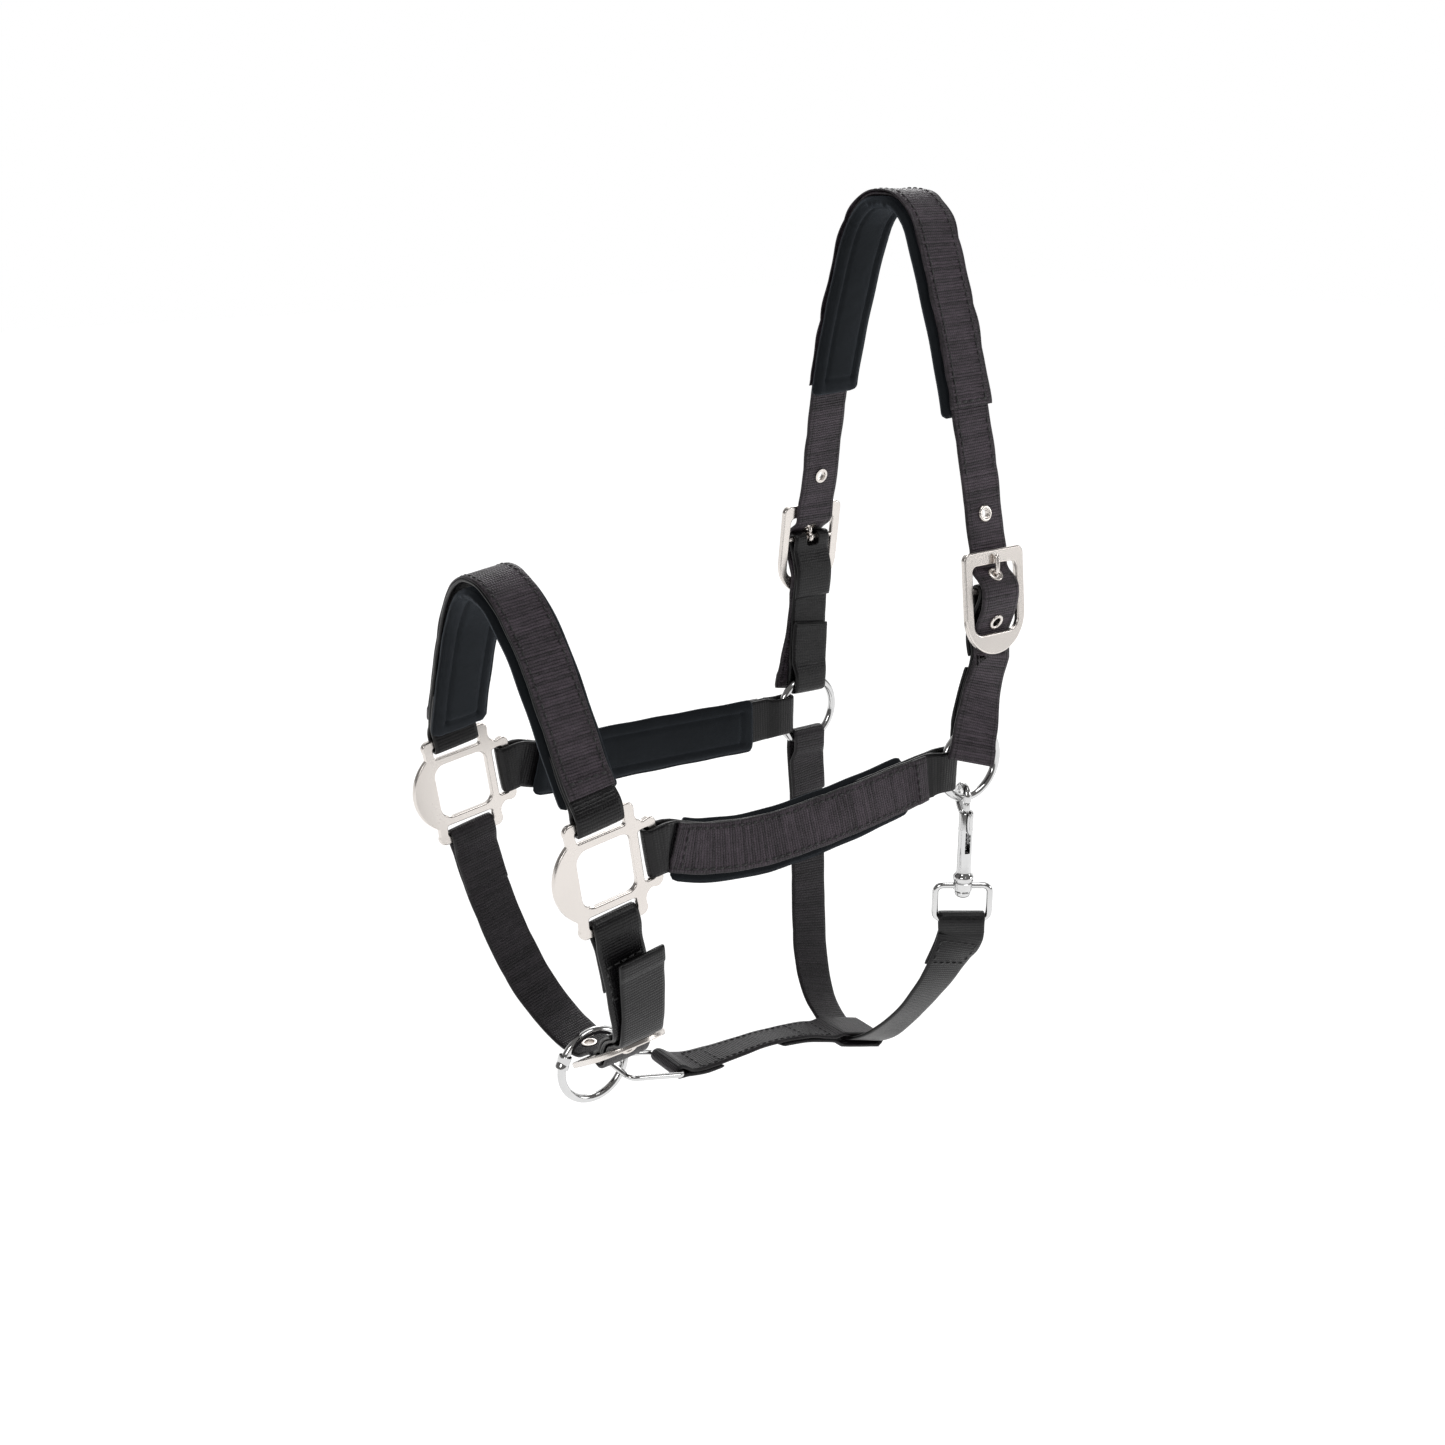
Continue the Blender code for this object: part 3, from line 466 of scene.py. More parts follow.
def weave(name, dark, light, pitch, rib, rough, sheen=0.0125, irregular=0.8, seam=0.0):
    """Woven webbing: cross ribs of uneven tone with painted highlights on their crests and painted shade in their
    grooves, painted highlight streaks, fine warp yarns between them and a smooth selvedge.
    """
    n = Nodes(name)
    uv = n.add("ShaderNodeUVMap", uv_map="weave")
    split = n.add("ShaderNodeSeparateXYZ")
    n.link(uv.outputs["UV"], split.inputs[0])
    across, along = split.outputs[0], split.outputs[1]
    wander = n.noise(uv.outputs["UV"], 260.0, 2)
    shifted = n.math("ADD", along, n.math("MULTIPLY", wander, WANDER))
    turns = n.math("DIVIDE", shifted, pitch)
    ribs = n.math("ABSOLUTE", n.math("SINE", n.math("MULTIPLY", turns, math.pi)))
    ribs = n.math("POWER", ribs, 0.6)
    number = n.math("FLOOR", turns)
    chance = n.add("ShaderNodeTexWhiteNoise", noise_dimensions="1D")
    n.link(number, chance.inputs["W"])
    lot = n.math("POWER", chance.outputs["Value"], 1.5)
    phase = n.math("MULTIPLY", n.math("PINGPONG", number, 1.0), math.pi / 2)
    yarn = n.math("ADD", n.math("MULTIPLY", across, 2 * math.pi / YARN), phase)
    yarn = n.span(n.math("SINE", yarn), -1, 1)
    edge = n.math("ABSOLUTE", across)
    inside = n.span(edge, *SELVEDGE)
    soft = n.noise(uv.outputs["UV"], 55.0, 4, 0.6)
    fleck = n.noise(uv.outputs["UV"], 1900.0, 2, 0.7)
    stretch = n.add("ShaderNodeVectorMath", operation="MULTIPLY")
    n.link(uv.outputs["UV"], stretch.inputs[0])
    stretch.inputs[1].default_value = (190.0, 760.0, 1.0)
    # wrinkle streaks across the ribs: real relief in the height, painted highlight streaks in the colour
    streak = n.span(n.noise(stretch.outputs[0], 1.0, 3, 0.6), 0.3, 0.7)
    # painted highlight on each rib's crest and painted shade in its grooves, taken from the rib relief
    tone = n.math("MULTIPLY", n.math("MULTIPLY", ribs, inside), rib * 0.7)
    uneven = n.math("MULTIPLY", n.math("MULTIPLY", lot, inside), -0.5 * irregular)
    tone = n.math("ADD", tone, uneven)
    tone = n.math("ADD", tone, n.math("MULTIPLY", yarn, 0.1))
    # painted highlight streaks where the wrinkled ribs catch the light
    tone = n.math("ADD", tone, n.math("MULTIPLY", streak, 0.4))
    tone = n.math("ADD", tone, n.span(soft, 0.3, 0.7, -0.2, 0.2))
    line = n.span(n.math("ABSOLUTE", n.math("SUBTRACT", edge, SEAM)), 0.0009, 0.0003)
    tone = n.math("SUBTRACT", tone, n.math("MULTIPLY", line, seam))
    tone = n.math("ADD", tone, n.span(fleck, 0.3, 0.7, -0.16, 0.16), True)
    n.link(n.mix(tone, dark, light), n.shader.inputs["Base Color"])
    n.link(n.span(fleck, 0.3, 0.7, rough - 0.08, rough + 0.1), n.shader.inputs["Roughness"])
    height = n.math("MULTIPLY", n.math("MULTIPLY", ribs, inside), 0.75)
    height = n.math("ADD", height, n.math("MULTIPLY", n.math("MULTIPLY", yarn, inside), 0.28))
    height = n.math("ADD", height, n.math("MULTIPLY", fleck, 0.3))
    height = n.math("ADD", height, n.math("MULTIPLY", n.math("MULTIPLY", streak, inside), 0.5))
    height = n.math("SUBTRACT", height, n.math("MULTIPLY", line, seam * 2))
    n.bump(height, 0.0006 * rib)
    n.set(Sheen_Weight=sheen, Sheen_Roughness=0.35, Sheen_Tint=(0.8, 0.78, 0.85, 1), Specular_IOR_Level=0.3)
    return n.mat


def coordinates(n):
    return n.add("ShaderNodeTexCoord").outputs["Object"]


def cloth(name, dark, light):
    """Soft brushed lining over foam: fine nap, faint blotches, a little sheen."""
    n = Nodes(name)
    at = coordinates(n)
    nap = n.noise(at, 2600.0, 3, 0.7)
    soft = n.noise(at, 60.0, 3, 0.55)
    tone = n.math("ADD", n.math("MULTIPLY", nap, 0.6), n.math("MULTIPLY", soft, 0.5), True)
    n.link(n.mix(tone, dark, light), n.shader.inputs["Base Color"])
    n.link(n.span(nap, 0.3, 0.7, 0.82, 0.96), n.shader.inputs["Roughness"])
    creases = n.noise(at, 130.0, 2, 0.5)
    n.bump(n.math("ADD", n.math("MULTIPLY", nap, 0.35), n.math("MULTIPLY", creases, 0.6)), 0.0007)
    n.set(Sheen_Weight=0.12, Sheen_Roughness=0.5, Sheen_Tint=(0.6, 0.7, 0.85, 1), Specular_IOR_Level=0.2)
    return n.mat


def metal(name, dark, light, low, high, grain=900.0, bump=0.00003, smear=70.0):
    """Plated metal with fine handling marks and uneven polish."""
    n = Nodes(name)
    at = coordinates(n)
    marks = n.noise(at, grain, 3, 0.7)
    cloud = n.noise(at, smear, 3, 0.55)
    n.link(n.mix(cloud, dark, light), n.shader.inputs["Base Color"])
    both = n.math("ADD", n.math("MULTIPLY", marks, 0.45), n.math("MULTIPLY", cloud, 0.55))
    n.link(n.span(both, 0.35, 0.65, low, high), n.shader.inputs["Roughness"])
    n.bump(n.math("ADD", marks, n.math("MULTIPLY", cloud, 2.0)), bump)
    n.set(Metallic=1.0)
    return n.mat


def thread(name, dark, light):
    n = Nodes(name)
    twist = n.noise(coordinates(n), 1500.0, 2, 0.6)
    n.link(n.mix(twist, dark, light), n.shader.inputs["Base Color"])
    n.bump(twist, 0.0002)
    n.set(Roughness=0.5, Sheen_Weight=0.15)
    return n.mat


WEBBING = weave(
    "charcoal_webbing", (0.0015, 0.0013, 0.0017), (0.026, 0.0215, 0.0262), pitch=0.0016, rib=0.75, rough=0.44
)
FACING = weave(
    "charcoal_facing", (0.0022, 0.0018, 0.0023), (0.066, 0.05, 0.064), pitch=0.0015, rib=0.8, rough=0.42, seam=0.22
)
SATIN = weave(
    "black_satin_webbing", (0.0009, 0.0009, 0.0011), (0.0062, 0.0056, 0.007),
    pitch=0.0017, rib=0.3, rough=0.33, sheen=0.005, irregular=0.5,
)
PADDING = cloth("black_lining", (0.0022, 0.0029, 0.0038), (0.0078, 0.0102, 0.0128))
THREAD = thread("dark_thread", (0.0012, 0.0012, 0.0015), (0.008, 0.0076, 0.009))
NICKEL = metal(
    "satin_nickel", (0.66, 0.62, 0.585), (0.78, 0.735, 0.7), 0.24, 0.28, grain=700.0, bump=0.0000015, smear=30.0
)
CHROME = metal("polished_plate", (0.56, 0.56, 0.56), (0.72, 0.72, 0.72), 0.06, 0.16, 1200.0, 0.00001)
SPRING = metal("spring_wire", (0.35, 0.35, 0.36), (0.6, 0.6, 0.61), 0.2, 0.34)


# soft pieces


def lay(r, path, pitch=1.7):
    """Even rows along a strap's path: length, centre, across, normal and width."""
    rough = [on_rail(r, q[0], q[1]) for q in path]
    line = smooth([q[0] for q in rough], 4)
    wide = smooth([q[1] for q in rough], 4)
    span = smooth([[q[2]] for q in path], 4)
    length = lengths(line)
    count = max(8, int(length[-1] / pitch))
    rows = []
    for i in range(count + 1):
        s = length[-1] * i / count
        ahead, behind = min(s + 0.6, length[-1]), max(s - 0.6, 0)
        along = unit(lerp(ahead, length, line) - lerp(behind, length, line))
        across = lerp(s, length, wide)
        across = unit(across - along * np.dot(across, along))
        rows.append((s, lerp(s, length, line), across, np.cross(across, along), lerp(s, length, span)[0]))
    return rows


def strap(
    name, rows, mat, nodes=(), thick=WEB_THICK, seed=0.0, ripple=0.14, lift=0.0, wide=WEB, hems=(), wavy=0.22
):
    """A woven strap over laid rows; hems are (start, end) lengths where the cloth is doubled."""
    section = web_section(wide, thick)
    out, uv = [], []
    total = rows[-1][0]
    for s, point, across, normal, span in rows:
        gap = min(s - rows[0][0], total - s)
        end = 0.5 + 0.5 * math.sqrt(gap / 0.9) if gap < 0.9 else 1.0
        steps = [math.tanh((s - a) / 0.7) - math.tanh((s - b) / 0.7) for a, b in hems]
        swell = sum(0.5 * q for q in steps) * 0.9
        row = []
        for a, n in section:
            slow = math.sin(s / 7.3 + seed + a * 0.09) * math.sin(s / 17.0 + seed * 2)
            wave = ripple * (slow + 0.3 * math.sin(s / 3.1 + a * 0.2))
            phase = seed * 3 + (1.7 if a > 0 else 0)
            sway = math.sin(s / 9.3 + phase) + 0.5 * math.sin(s / 4.3 + phase * 2)
            edge = wavy * sway * (abs(a) / 12.5) ** 3
            high = n * end + wave + (swell if n > 0 else 0) + lift
            row.append(point + across * (a * span / WEB + math.copysign(edge, a)) + normal * high)
            uv.append((a, s + seed * 13))
        out.append(row)
    verts, faces = grid(out)
    return put(name, verts, faces, mat, "straps", nodes, uv)


def darker_near_part(item, mat, near_of):
    """The near part of a long strap in a darker cloth: the throat strap's own black near half, and painted shade
    on the loose chin strap's free end.
    """
    item.data.materials.append(mat)
    for face in item.data.polygons:
        face.material_index = int(face.center[1] < near_of)


def at_length(rows, s):
    """Point, width direction and normal on laid rows at length s."""
    table = np.array([q[0] for q in rows])
    k = int(np.clip(np.searchsorted(table, s), 1, len(rows) - 1))
    t = (s - table[k - 1]) / (table[k] - table[k - 1])
    a, b = rows[k - 1], rows[k]
    point, across, normal = (a[k] * (1 - t) + b[k] * t for k in (1, 2, 3))
    return point, unit(across), unit(normal)


# place along a stitch, thickness there and rise
STITCH_SHAPE = ((0, 0.35, -0.25), (0.12, 0.85, 0.02), (0.5, 1.0, 0.12), (0.88, 0.85, 0.02), (1, 0.35, -0.25))


def stitch_mesh(ends, normal):
    """One thread stitch between two points, humped a little along the normal."""
    a, b = ends
    along = unit(b - a)
    side = np.cross(along, normal)
    rows = []
    turn = [math.pi * k / 3 for k in range(6)]
    for t, size, rise in STITCH_SHAPE:
        centre = a + (b - a) * t + normal * rise
        reach = STITCH_RADIUS * size
        rows.append([centre + (side * math.cos(q) + normal * math.sin(q) * 0.7) * reach for q in turn])
    return grid(rows)


def stitches(name, rows, runs, height):
    """Rows of stitches; a run is (from, to, across) along the strap or (at, None, reach) across it."""
    parts = []
    for a, b, c in runs:
        if b is None:
            count = max(1, int(2 * c / (STITCH_LONG + STITCH_SPACE)))
            point, across, normal = at_length(rows, a)
            up = normal * height
            for k in range(count):
                x = -c + 2 * c * (k + 0.14) / count
                ends = (point + across * x + up, point + across * (x + 1.4 * c / count) + up)
                parts.append(stitch_mesh(ends, normal))
            continue
        count = max(1, int((b - a) / (STITCH_LONG + STITCH_SPACE)))
        for k in range(count):
            s = a + (b - a) * k / count
            both = at_length(rows, s), at_length(rows, s + STITCH_LONG)
            ends = tuple(q[0] + q[1] * c + q[2] * height for q in both)
            parts.append(stitch_mesh(ends, both[0][2]))
    verts, faces = merged(parts)
    put(name, verts, faces, THREAD, "straps", ())


def box(a, b, row=BOX_ROW):
    """The two side rows of a sewn box between two lengths."""
    return [(a, b, -row), (a, b, row)]


def cut_holes(item, spots, radius):
    """Round holes through one layer of strap for its eyelets."""
    turn = [math.pi * q / 12 for q in range(24)]
    for point, normal in spots:
        side = unit(np.cross(normal, [0.3, 0.9, 0.2]))
        other = np.cross(normal, side)
        rim = [(side * math.cos(a) + other * math.sin(a)) * radius for a in turn]
        combine(item, *grid([[point + normal * end + q for q in rim] for end in (-2.6, 2.6)]))


def combine(item, verts, faces, operation="DIFFERENCE"):
    """Cuts a closed mesh out of an item, or joins it on."""
    mesh = bpy.data.meshes.new("cutter")
    mesh.from_pydata([tuple(0.001 * c for c in v) for v in verts], [], faces)
    work = bmesh.new()
    work.from_mesh(mesh)
    bmesh.ops.recalc_face_normals(work, faces=work.faces)
    work.to_mesh(mesh)
    work.free()
    cutter = bpy.data.objects.new("cutter", mesh)
    bpy.context.collection.objects.link(cutter)
    mod = item.modifiers.new("cut", "BOOLEAN")
    mod.operation = operation
    mod.solver = "EXACT"
    mod.object = cutter
    done = evaluated(item)
    item.modifiers.remove(mod)
    item.data = done
    bpy.data.objects.remove(cutter)


CHANNEL = 9.2


def upper_roll(x):
    """Rise of a pad's upper side beside the strap, x from the middle."""
    if x < 12.9:
        return 0.0
    return 0.9 * math.sin(min(1.0, (x - 12.9) / 3.4) * math.pi) ** 0.8


def lower_roll(x):
    """Fullness of a pad's underside: the middle panel, and the roll outside the sewn channel."""
    if x < 8.6:
        return 0.5 * (1 - (x / 8.6) ** 2)
    if x > CHANNEL:
        return 0.35 * math.sin(min(1, (x - CHANNEL) / 6.0) * math.pi)
    return 0.0


def pad_rows(r, start, end, lift, flat, shift):
    """Rows of a stuffed strip under a strap: raised borders, sewn channels below, rounded ends."""
    count = int((end - start) / 1.5)
    half, corner, panel_end = PAD_WIDE / 2, 3.2, 9.0
    out = []
    for i in range(count + 1):
        s = start + (end - start) * i / count
        gap = min(s - start, end - s)
        point, across, normal = on_rail(r, s, lift)
        point = point + across * shift
        inset = 0.0
        if gap < corner:
            inset = min(corner - math.sqrt(max(0.0, corner**2 - (corner - gap) ** 2)), 2.6)
        near_end = min(1.0, gap / 3.0)
        squash = 0.3 + 0.7 * math.sqrt(near_end * (2 - near_end))
        groove_end = 0.8 * math.exp(-(((gap - panel_end) / 1.1) ** 2))
        wander = 0.16 * math.sin(s / 6.1) + 0.12 * math.sin(s / 2.9 + 1.3)
        wide = half - inset + 0.14 * math.sin(s / 4.7)
        row = []
        for k in range(27):
            a = -1 + 2 * k / 26
            x = a * (wide - 0.6)
            high = PAD_THICK / 2 + upper_roll(abs(x)) - 2.6 * abs(a) ** 14
            row.append((x, (high + 0.4 * wander * (abs(a) > 0.7)) * squash))
        row += [(wide, 0.9 * squash), (wide, -0.9 * squash)]
        for k in range(27):
            a = 1 - 2 * k / 26
            x = a * (wide - 0.6)
            out_of = abs(x) - CHANNEL
            groove = math.exp(-(out_of**2)) * min(1.0, max(0.0, (gap - 6) / 4))
            inside = groove_end * (1.0 if out_of < 0 else math.exp(-((out_of / 1.2) ** 2)))
            deep = PAD_THICK / 2 + lower_roll(abs(x)) - groove - inside - 2.2 * abs(a) ** 12
            row.append((x, -(deep + 0.3 * wander * (abs(a) > 0.3)) * squash))
        row += [(-wide, -0.9 * squash), (-wide, 0.9 * squash)]
        out.append([point + across * x + normal * n for x, n in row])
    if flat:
        flat(out)
    return out


def pad(name, r, start, end, lift, node, flat=None, shift=0.0):
    """A stuffed strip; flat levels the rows at a resting facet, shift moves it across."""
    verts, faces = grid(pad_rows(r, start, end, lift, flat, shift))
    item = put(name, verts, faces, PADDING, "straps", (node,))


def eyelet(name, point, normal):
    """Rolled eyelet: a rounded rim on the outside, a flat washer behind."""
    skin = WEB_THICK / 2 + 0.12
    turn = [math.radians(a) for a in range(-40, 200, 20)]
    rim = [(3.35 + 0.95 * math.cos(a), skin + 0.28 + 0.62 * math.sin(a)) for a in turn]
    back = [(2.55, -skin - 0.1), (2.7, -skin - 0.45), (3.1, -skin - 0.6), (4.1, -skin - 0.4)]
    back += [(4.15, -skin - 0.1), (3.2, -skin), (3.2, skin)]
    profile = [(4.3, skin)] + rim + back
    turned(name, point, normal, profile, NICKEL, "straps", (name,), 40)


def spot_near(rows, target):
    """Point and normal on laid rows nearest a target."""
    best = min(rows, key=lambda q: np.linalg.norm(q[1] - target))
    tries = (best[0] + d for d in np.arange(-2, 2.01, 0.2))
    s = min(tries, key=lambda q: np.linalg.norm(at_length(rows, q)[0] - target))
    point, _, normal = at_length(rows, s)
    return point, normal


# a strap's way through a buckle: (down or up the plate, out from it)
BUCKLE_RUN = [
    (-30, -3.4), (-27.5, -3.0), (-22, -2.9), (-16.5, -2.8), (-12, -0.9), (-7, 1.7), (-2, 3.9), (3, 5.1),
    (8, 5.0), (11, 3.6), (13.7, 1.0), (16.3, -1.7), (19.2, -3.0), (23, -3.05), (28, -3.1),
]


def same(vector, count):
    return [vector] * count


def with_eyelets(item, rows, targets, names):
    spots = [spot_near(rows, target) for target in targets]
    cut_holes(item, spots, 3.3)
    for (point, normal), name in zip(spots, names):
        eyelet(name, point, normal)


# the free eyelet on the far side of the crown strap
CROWN_EYELET = (5.6, 66.6, -150.0)


def crown():
    near, far = buckle_place(-1), buckle_place(1)
    far_tail = [(-4.7, 76.6, -279.5), (-1.2, 76.7, -262.0), (2.8, 75.9, -243.0)]
    tail = [(-13.0, 84.4, -278.0), (-7.2, 81.8, -262.0), (0.9, 77.0, -243.0)]
    up = [CROWN_EYELET, (4.4, 62.0, -125.0), (3.0, 56.4, -99.4), (2.2, 51.0, -78.0), (1.4, 44.6, -57.0)]
    up += [(0.6, 38.0, -38.0), (0.0, 31.5, -20.0), (0.0, 24.0, -5.0), (0.0, 12.4, 4.9)]
    one = [(x, -y, z) for x, y, z in tail] + [local(near, 0, v, n) for v, n in BUCKLE_RUN]
    one += [(x, -y, z) for x, y, z in up]
    two = far_tail + [local(far, 0, v, n) for v, n in BUCKLE_RUN] + up
    points = one + [(0.0, 0.0, 6.95)] + two[::-1]
    lean = [(0.98, 0, -0.16), (0.985, 0, -0.14), (0.99, 0, -0.1), (1, 0, -0.04)]
    near_lean = [(0.8, -0.46, -0.38), (0.87, -0.32, -0.3), (0.975, -0.08, -0.17), (1, 0, -0.05)]
    r = rail(points, near_lean + same((1, 0, 0), len(points) - 8) + lean[::-1], 3)
    rows = lay(r, [(s, 0.0, WEB) for s in r[0]])
    total = rows[-1][0]
    hems = ((0, 9.5), (total - 9.5, total))
    item = strap("crown_webbing", rows, FACING, ("crown_strap",), seed=1.0, wavy=0.4, hems=hems)
    for word, place in (("near", near), ("far", far)):
        free = np.array(CROWN_EYELET) * (1, SIDES[word], 1)
        targets = [local(place, 0, 13.7, 1.0), local(place, 0, -10.0, 0.2), free]
        with_eyelets(item, rows, targets, [f"{word}_crown_eyelet_{k}" for k in (2, 1, 3)])
    half, reach = r[0][int(np.argmax(r[1][:, 2]))], 129.0
    lift = UNDER_SINGLE

    def level(out):
        for row in out:
            for k, p in enumerate(row):
                if abs(p[1]) < 7 and p[2] < 1.9:
                    row[k] = np.array([p[0], p[1], 0.0])

    pad("crown_padding", r, half - reach, half + reach, lift, "crown_pad", level)
    a, b = half - reach + 5, half + reach - 5
    runs = [(7.6, None, 10.8), (total - 7.6, None, 10.8)]
    runs += box(a - 34, a - 6, EDGE_ROW) + box(b + 6, b + 34, EDGE_ROW)
    stitches("crown_stitching", rows, runs, ON_WEB)
    own = [(q[0] - a + 2, *q[1:]) for q in rows if a - 2 <= q[0] <= b + 2]
    long = own[-1][0]
    strap("crown_facing", own, FACING, (), FACING_THICK, 1.7, 0.12, lift=FACING_LIFT, wide=27.2, wavy=0.7)
    runs = box(4.4, long - 4.4, EDGE_ROW) + [(4.0, None, 11.5), (long - 4.0, None, 11.5)]
    stitches("crown_facing_stitching", own, runs, FACING_LIFT + 0.62)


def facing(name, rows, start, end, seed):
    """The separate woven facing sewn over a double strap, its two ends turned under."""
    own = [q for q in rows if start <= q[0] <= end]
    base = own[0][0]
    own = [(q[0] - base, *q[1:]) for q in own]
    total = own[-1][0]
    hems = ((-5, 8.2), (total - 8.2, total + 5))
    strap(name, own, FACING, (), FACING_THICK, seed, 0.1, lift=FACING_LIFT, wide=24.6, hems=hems)
    stitches(name + "_stitching", own, box(8.6, total - 8.6, EDGE_ROW), FACING_LIFT + 0.58)
    runs = [(6.9, None, 10.6), (total - 6.9, None, 10.6)]
    stitches(name + "_hem_stitching", own, runs, FACING_LIFT + 1.48)


def noseband():
    one, two = square_place(-1), square_place(1)
    run = [(-236.0, 69.6, -254.4), (-237.6, 64.8, -244.5), (-239.6, 54.4, -222.5), (-241.2, 44.5, -203.0)]
    run += [(-243.0, 33.5, -184.0), (-244.8, 20.0, -168.5), (-245.6, 8.0, -161.6)]
    points = [local(one, 0, RIM_OUT, 0)] + [(x, -y, z) for x, y, z in run] + [(-245.8, 0, -160.4)]
    points += run[::-1] + [local(two, 0, RIM_OUT, 0)]
    r = rail(points, same(tuple(one[1]), len(points)), 5)
    total = r[0][-1]
    rows = lay(r, double_fold(total, RIM_FOLD, 34, RIM_FOLD, 34, 36))
    lead = outer_leg(rows, points[0], points[1]), outer_leg(rows, points[-1], points[-2])
    strap("noseband_webbing", rows, SATIN, ("noseband_strap",), seed=2.0)
    facing("noseband_facing", rows, lead[0] + 12, lead[1] - 12, 3.0)
    lift = UNDER_DOUBLE
    u, y = one[1], np.array([0.0, 1.0, 0.0])
    down = np.cross(u, y)
    down = down if down[2] < 0 else -down
    level = np.dot(np.array([-244.588, 0.0, -168.766]), down)

    def flat(out):
        for row in out:
            for k, p in enumerate(row):
                if abs(p[1]) < 7 and abs(level - np.dot(p, down)) < 1.6:
                    row[k] = p + down * (level - np.dot(p, down))

    pad("noseband_padding", r, 9.5, total - 9.5, lift, "noseband_pad", flat, 1.6)


def outer_leg(rows, rim, inside):
    """Length along laid rows where the outer leg passes a folded end's bar."""
    rim, inside = np.array(rim, float), np.array(inside, float)
    along = unit(inside - rim)
    crossed = []
    for a, b in zip(rows, rows[1:]):
        before, after = np.dot(a[1] - rim, along), np.dot(b[1] - rim, along)
        if before * after <= 0 and np.linalg.norm(a[1] - rim) < 12:
            crossed.append(a[0])
    return max(crossed) if crossed[0] < rows[-1][0] / 2 else min(crossed)


def rows_at(rows, target):
    """Length along laid rows of the row nearest a target."""
    return min(rows, key=lambda q: np.linalg.norm(q[1] - np.array(target)))[0]


# for each side: heights along the strap, how far it rolls, and how far the pad sits off its middle
CHEEK_SHAPE = {
    -1: ((-287.6, -291.0, -293.5, -291.0, -287.2), (0.16, 0.26, 0.3, 0.26, 0.16), 1.7),
    1: ((-287.5, -289.0, -290.0, -291.5, -292.5), (0, 0, 0, 0, 0), 0.0),
}


def cheek(word, side):
    place, ring = square_place(side), CHEEK_RING[side]
    xs, bow = (-186.0, -170.0, -138.0, -90.0, -48.0), (71.0, 72.5, 74.0, 73.5, 71.5)
    sag, roll, shift = CHEEK_SHAPE[side]
    points = [local(place, RIM_OUT, 0, 0), local(place, RIM_OUT + 7, -0.3, 0.2)]
    points += [(x, side * y, z) for x, y, z in zip(xs, bow, sag)]
    points += [(ring[0] - RING_MID - 8, side * 70.2, ring[2]), (ring[0] - RING_MID, side * 70.0, ring[2])]
    wides = same(tuple(side * place[2]), 2) + [(0, side * q, side) for q in roll] + same((0, 0, side), 2)
    r = rail(points, wides, 5)
    total = r[0][-1]
    rows = lay(r, double_fold(total, RIM_FOLD, 60, RING_FOLD, 60, 16))
    start, end = outer_leg(rows, *points[:2]), outer_leg(rows, points[-1], points[-2])
    ridges = ((start + 5.2, start + 7.0), (end - 9.5, end - 7.8))
    strap(f"{word}_cheek_webbing", rows, SATIN, (f"{word}_cheek_strap",), seed=4.0 + side, hems=ridges)
    facing(f"{word}_cheek_facing", rows, start + 9.5, end - 12, 5.0 + side)
    lift = UNDER_DOUBLE
    pad(f"{word}_cheek_padding", r, 16.0, total - 24.0, lift, f"{word}_cheek_pad", None, shift)


def tongue_window(item, place):
    """The slot in a strap's fold that lets the tongue through."""
    slot = round_box(-4.2, 4.2, 3.0, 16.0, 2.1, 4)
    combine(item, *grid([[local(place, 1.02 * u, v, h) for u, v in slot] for h in (-4.75, 4.75)]))


def to_bar(place):
    """The last points of a strap sewn round a buckle's bar, from the bar outward."""
    run = ((7, 0), (1, -1.2), (-6, -4.6), (-14, -6.9), (-20, -7.0))
    return [local(place, 0, v, n) for v, n in run]


def buckle_strap(word, side):
    place, ring = buckle_place(side), CHEEK_RING[side]
    top = ring[2] + RING_MID
    points = [(ring[0], side * 70.0, top), (ring[0] + 0.6, side * 70.1, top + 14), local(place, 0, -29, -7.0)]
    points += to_bar(place)[::-1]
    r = rail(points, same((-side, 0, 0), len(points)), 5)
    rows = lay(r, double_fold(r[0][-1], RING_FOLD, 34, BAR_FOLD, 36, 12))
    item = strap(f"{word}_buckle_webbing", rows, SATIN, (f"{word}_buckle_strap",), seed=6.0 + side)
    tongue_window(item, place)
    low = rows_at(rows, (ring[0] + 0.6, side * 71.2, top + 17))
    runs = [(low, None, 9.6), (low + 17, None, CROSS_ROW)] + box(low, low + 17, 9.6)
    stitches(f"{word}_buckle_strap_stitching", rows, runs, ON_WEB)


def chin():
    place, near, far = chin_place(), square_place(-1), square_place(1)
    fixed = to_bar(place) + [local(place, 0, -27, -7.1), (-214.5, -65.6, -375.0)]
    fixed += [(-219.8, -69.4, -352.0), (-224.2, -71.2, -333.0), local(near, 0, -RIM_OUT, 0)]
    r = rail(fixed, same(tuple(place[1]), 6) + same(tuple(near[1]), 4), 5)
    rows = lay(r, double_fold(r[0][-1], BAR_FOLD, 36, RIM_FOLD, 34, 14))
    item = strap("near_chin_webbing", rows, SATIN, ("near_chin_strap",), seed=8.0)
    tongue_window(item, place)
    high = rows_at(rows, (-223.6, -72.4, -335.0))
    runs = [(high, None, CROSS_ROW), (high - 19, None, CROSS_ROW)] + box(high - 19, high)
    stitches("near_chin_stitching", rows, runs, ON_WEB)
    loose_chin(place, far)


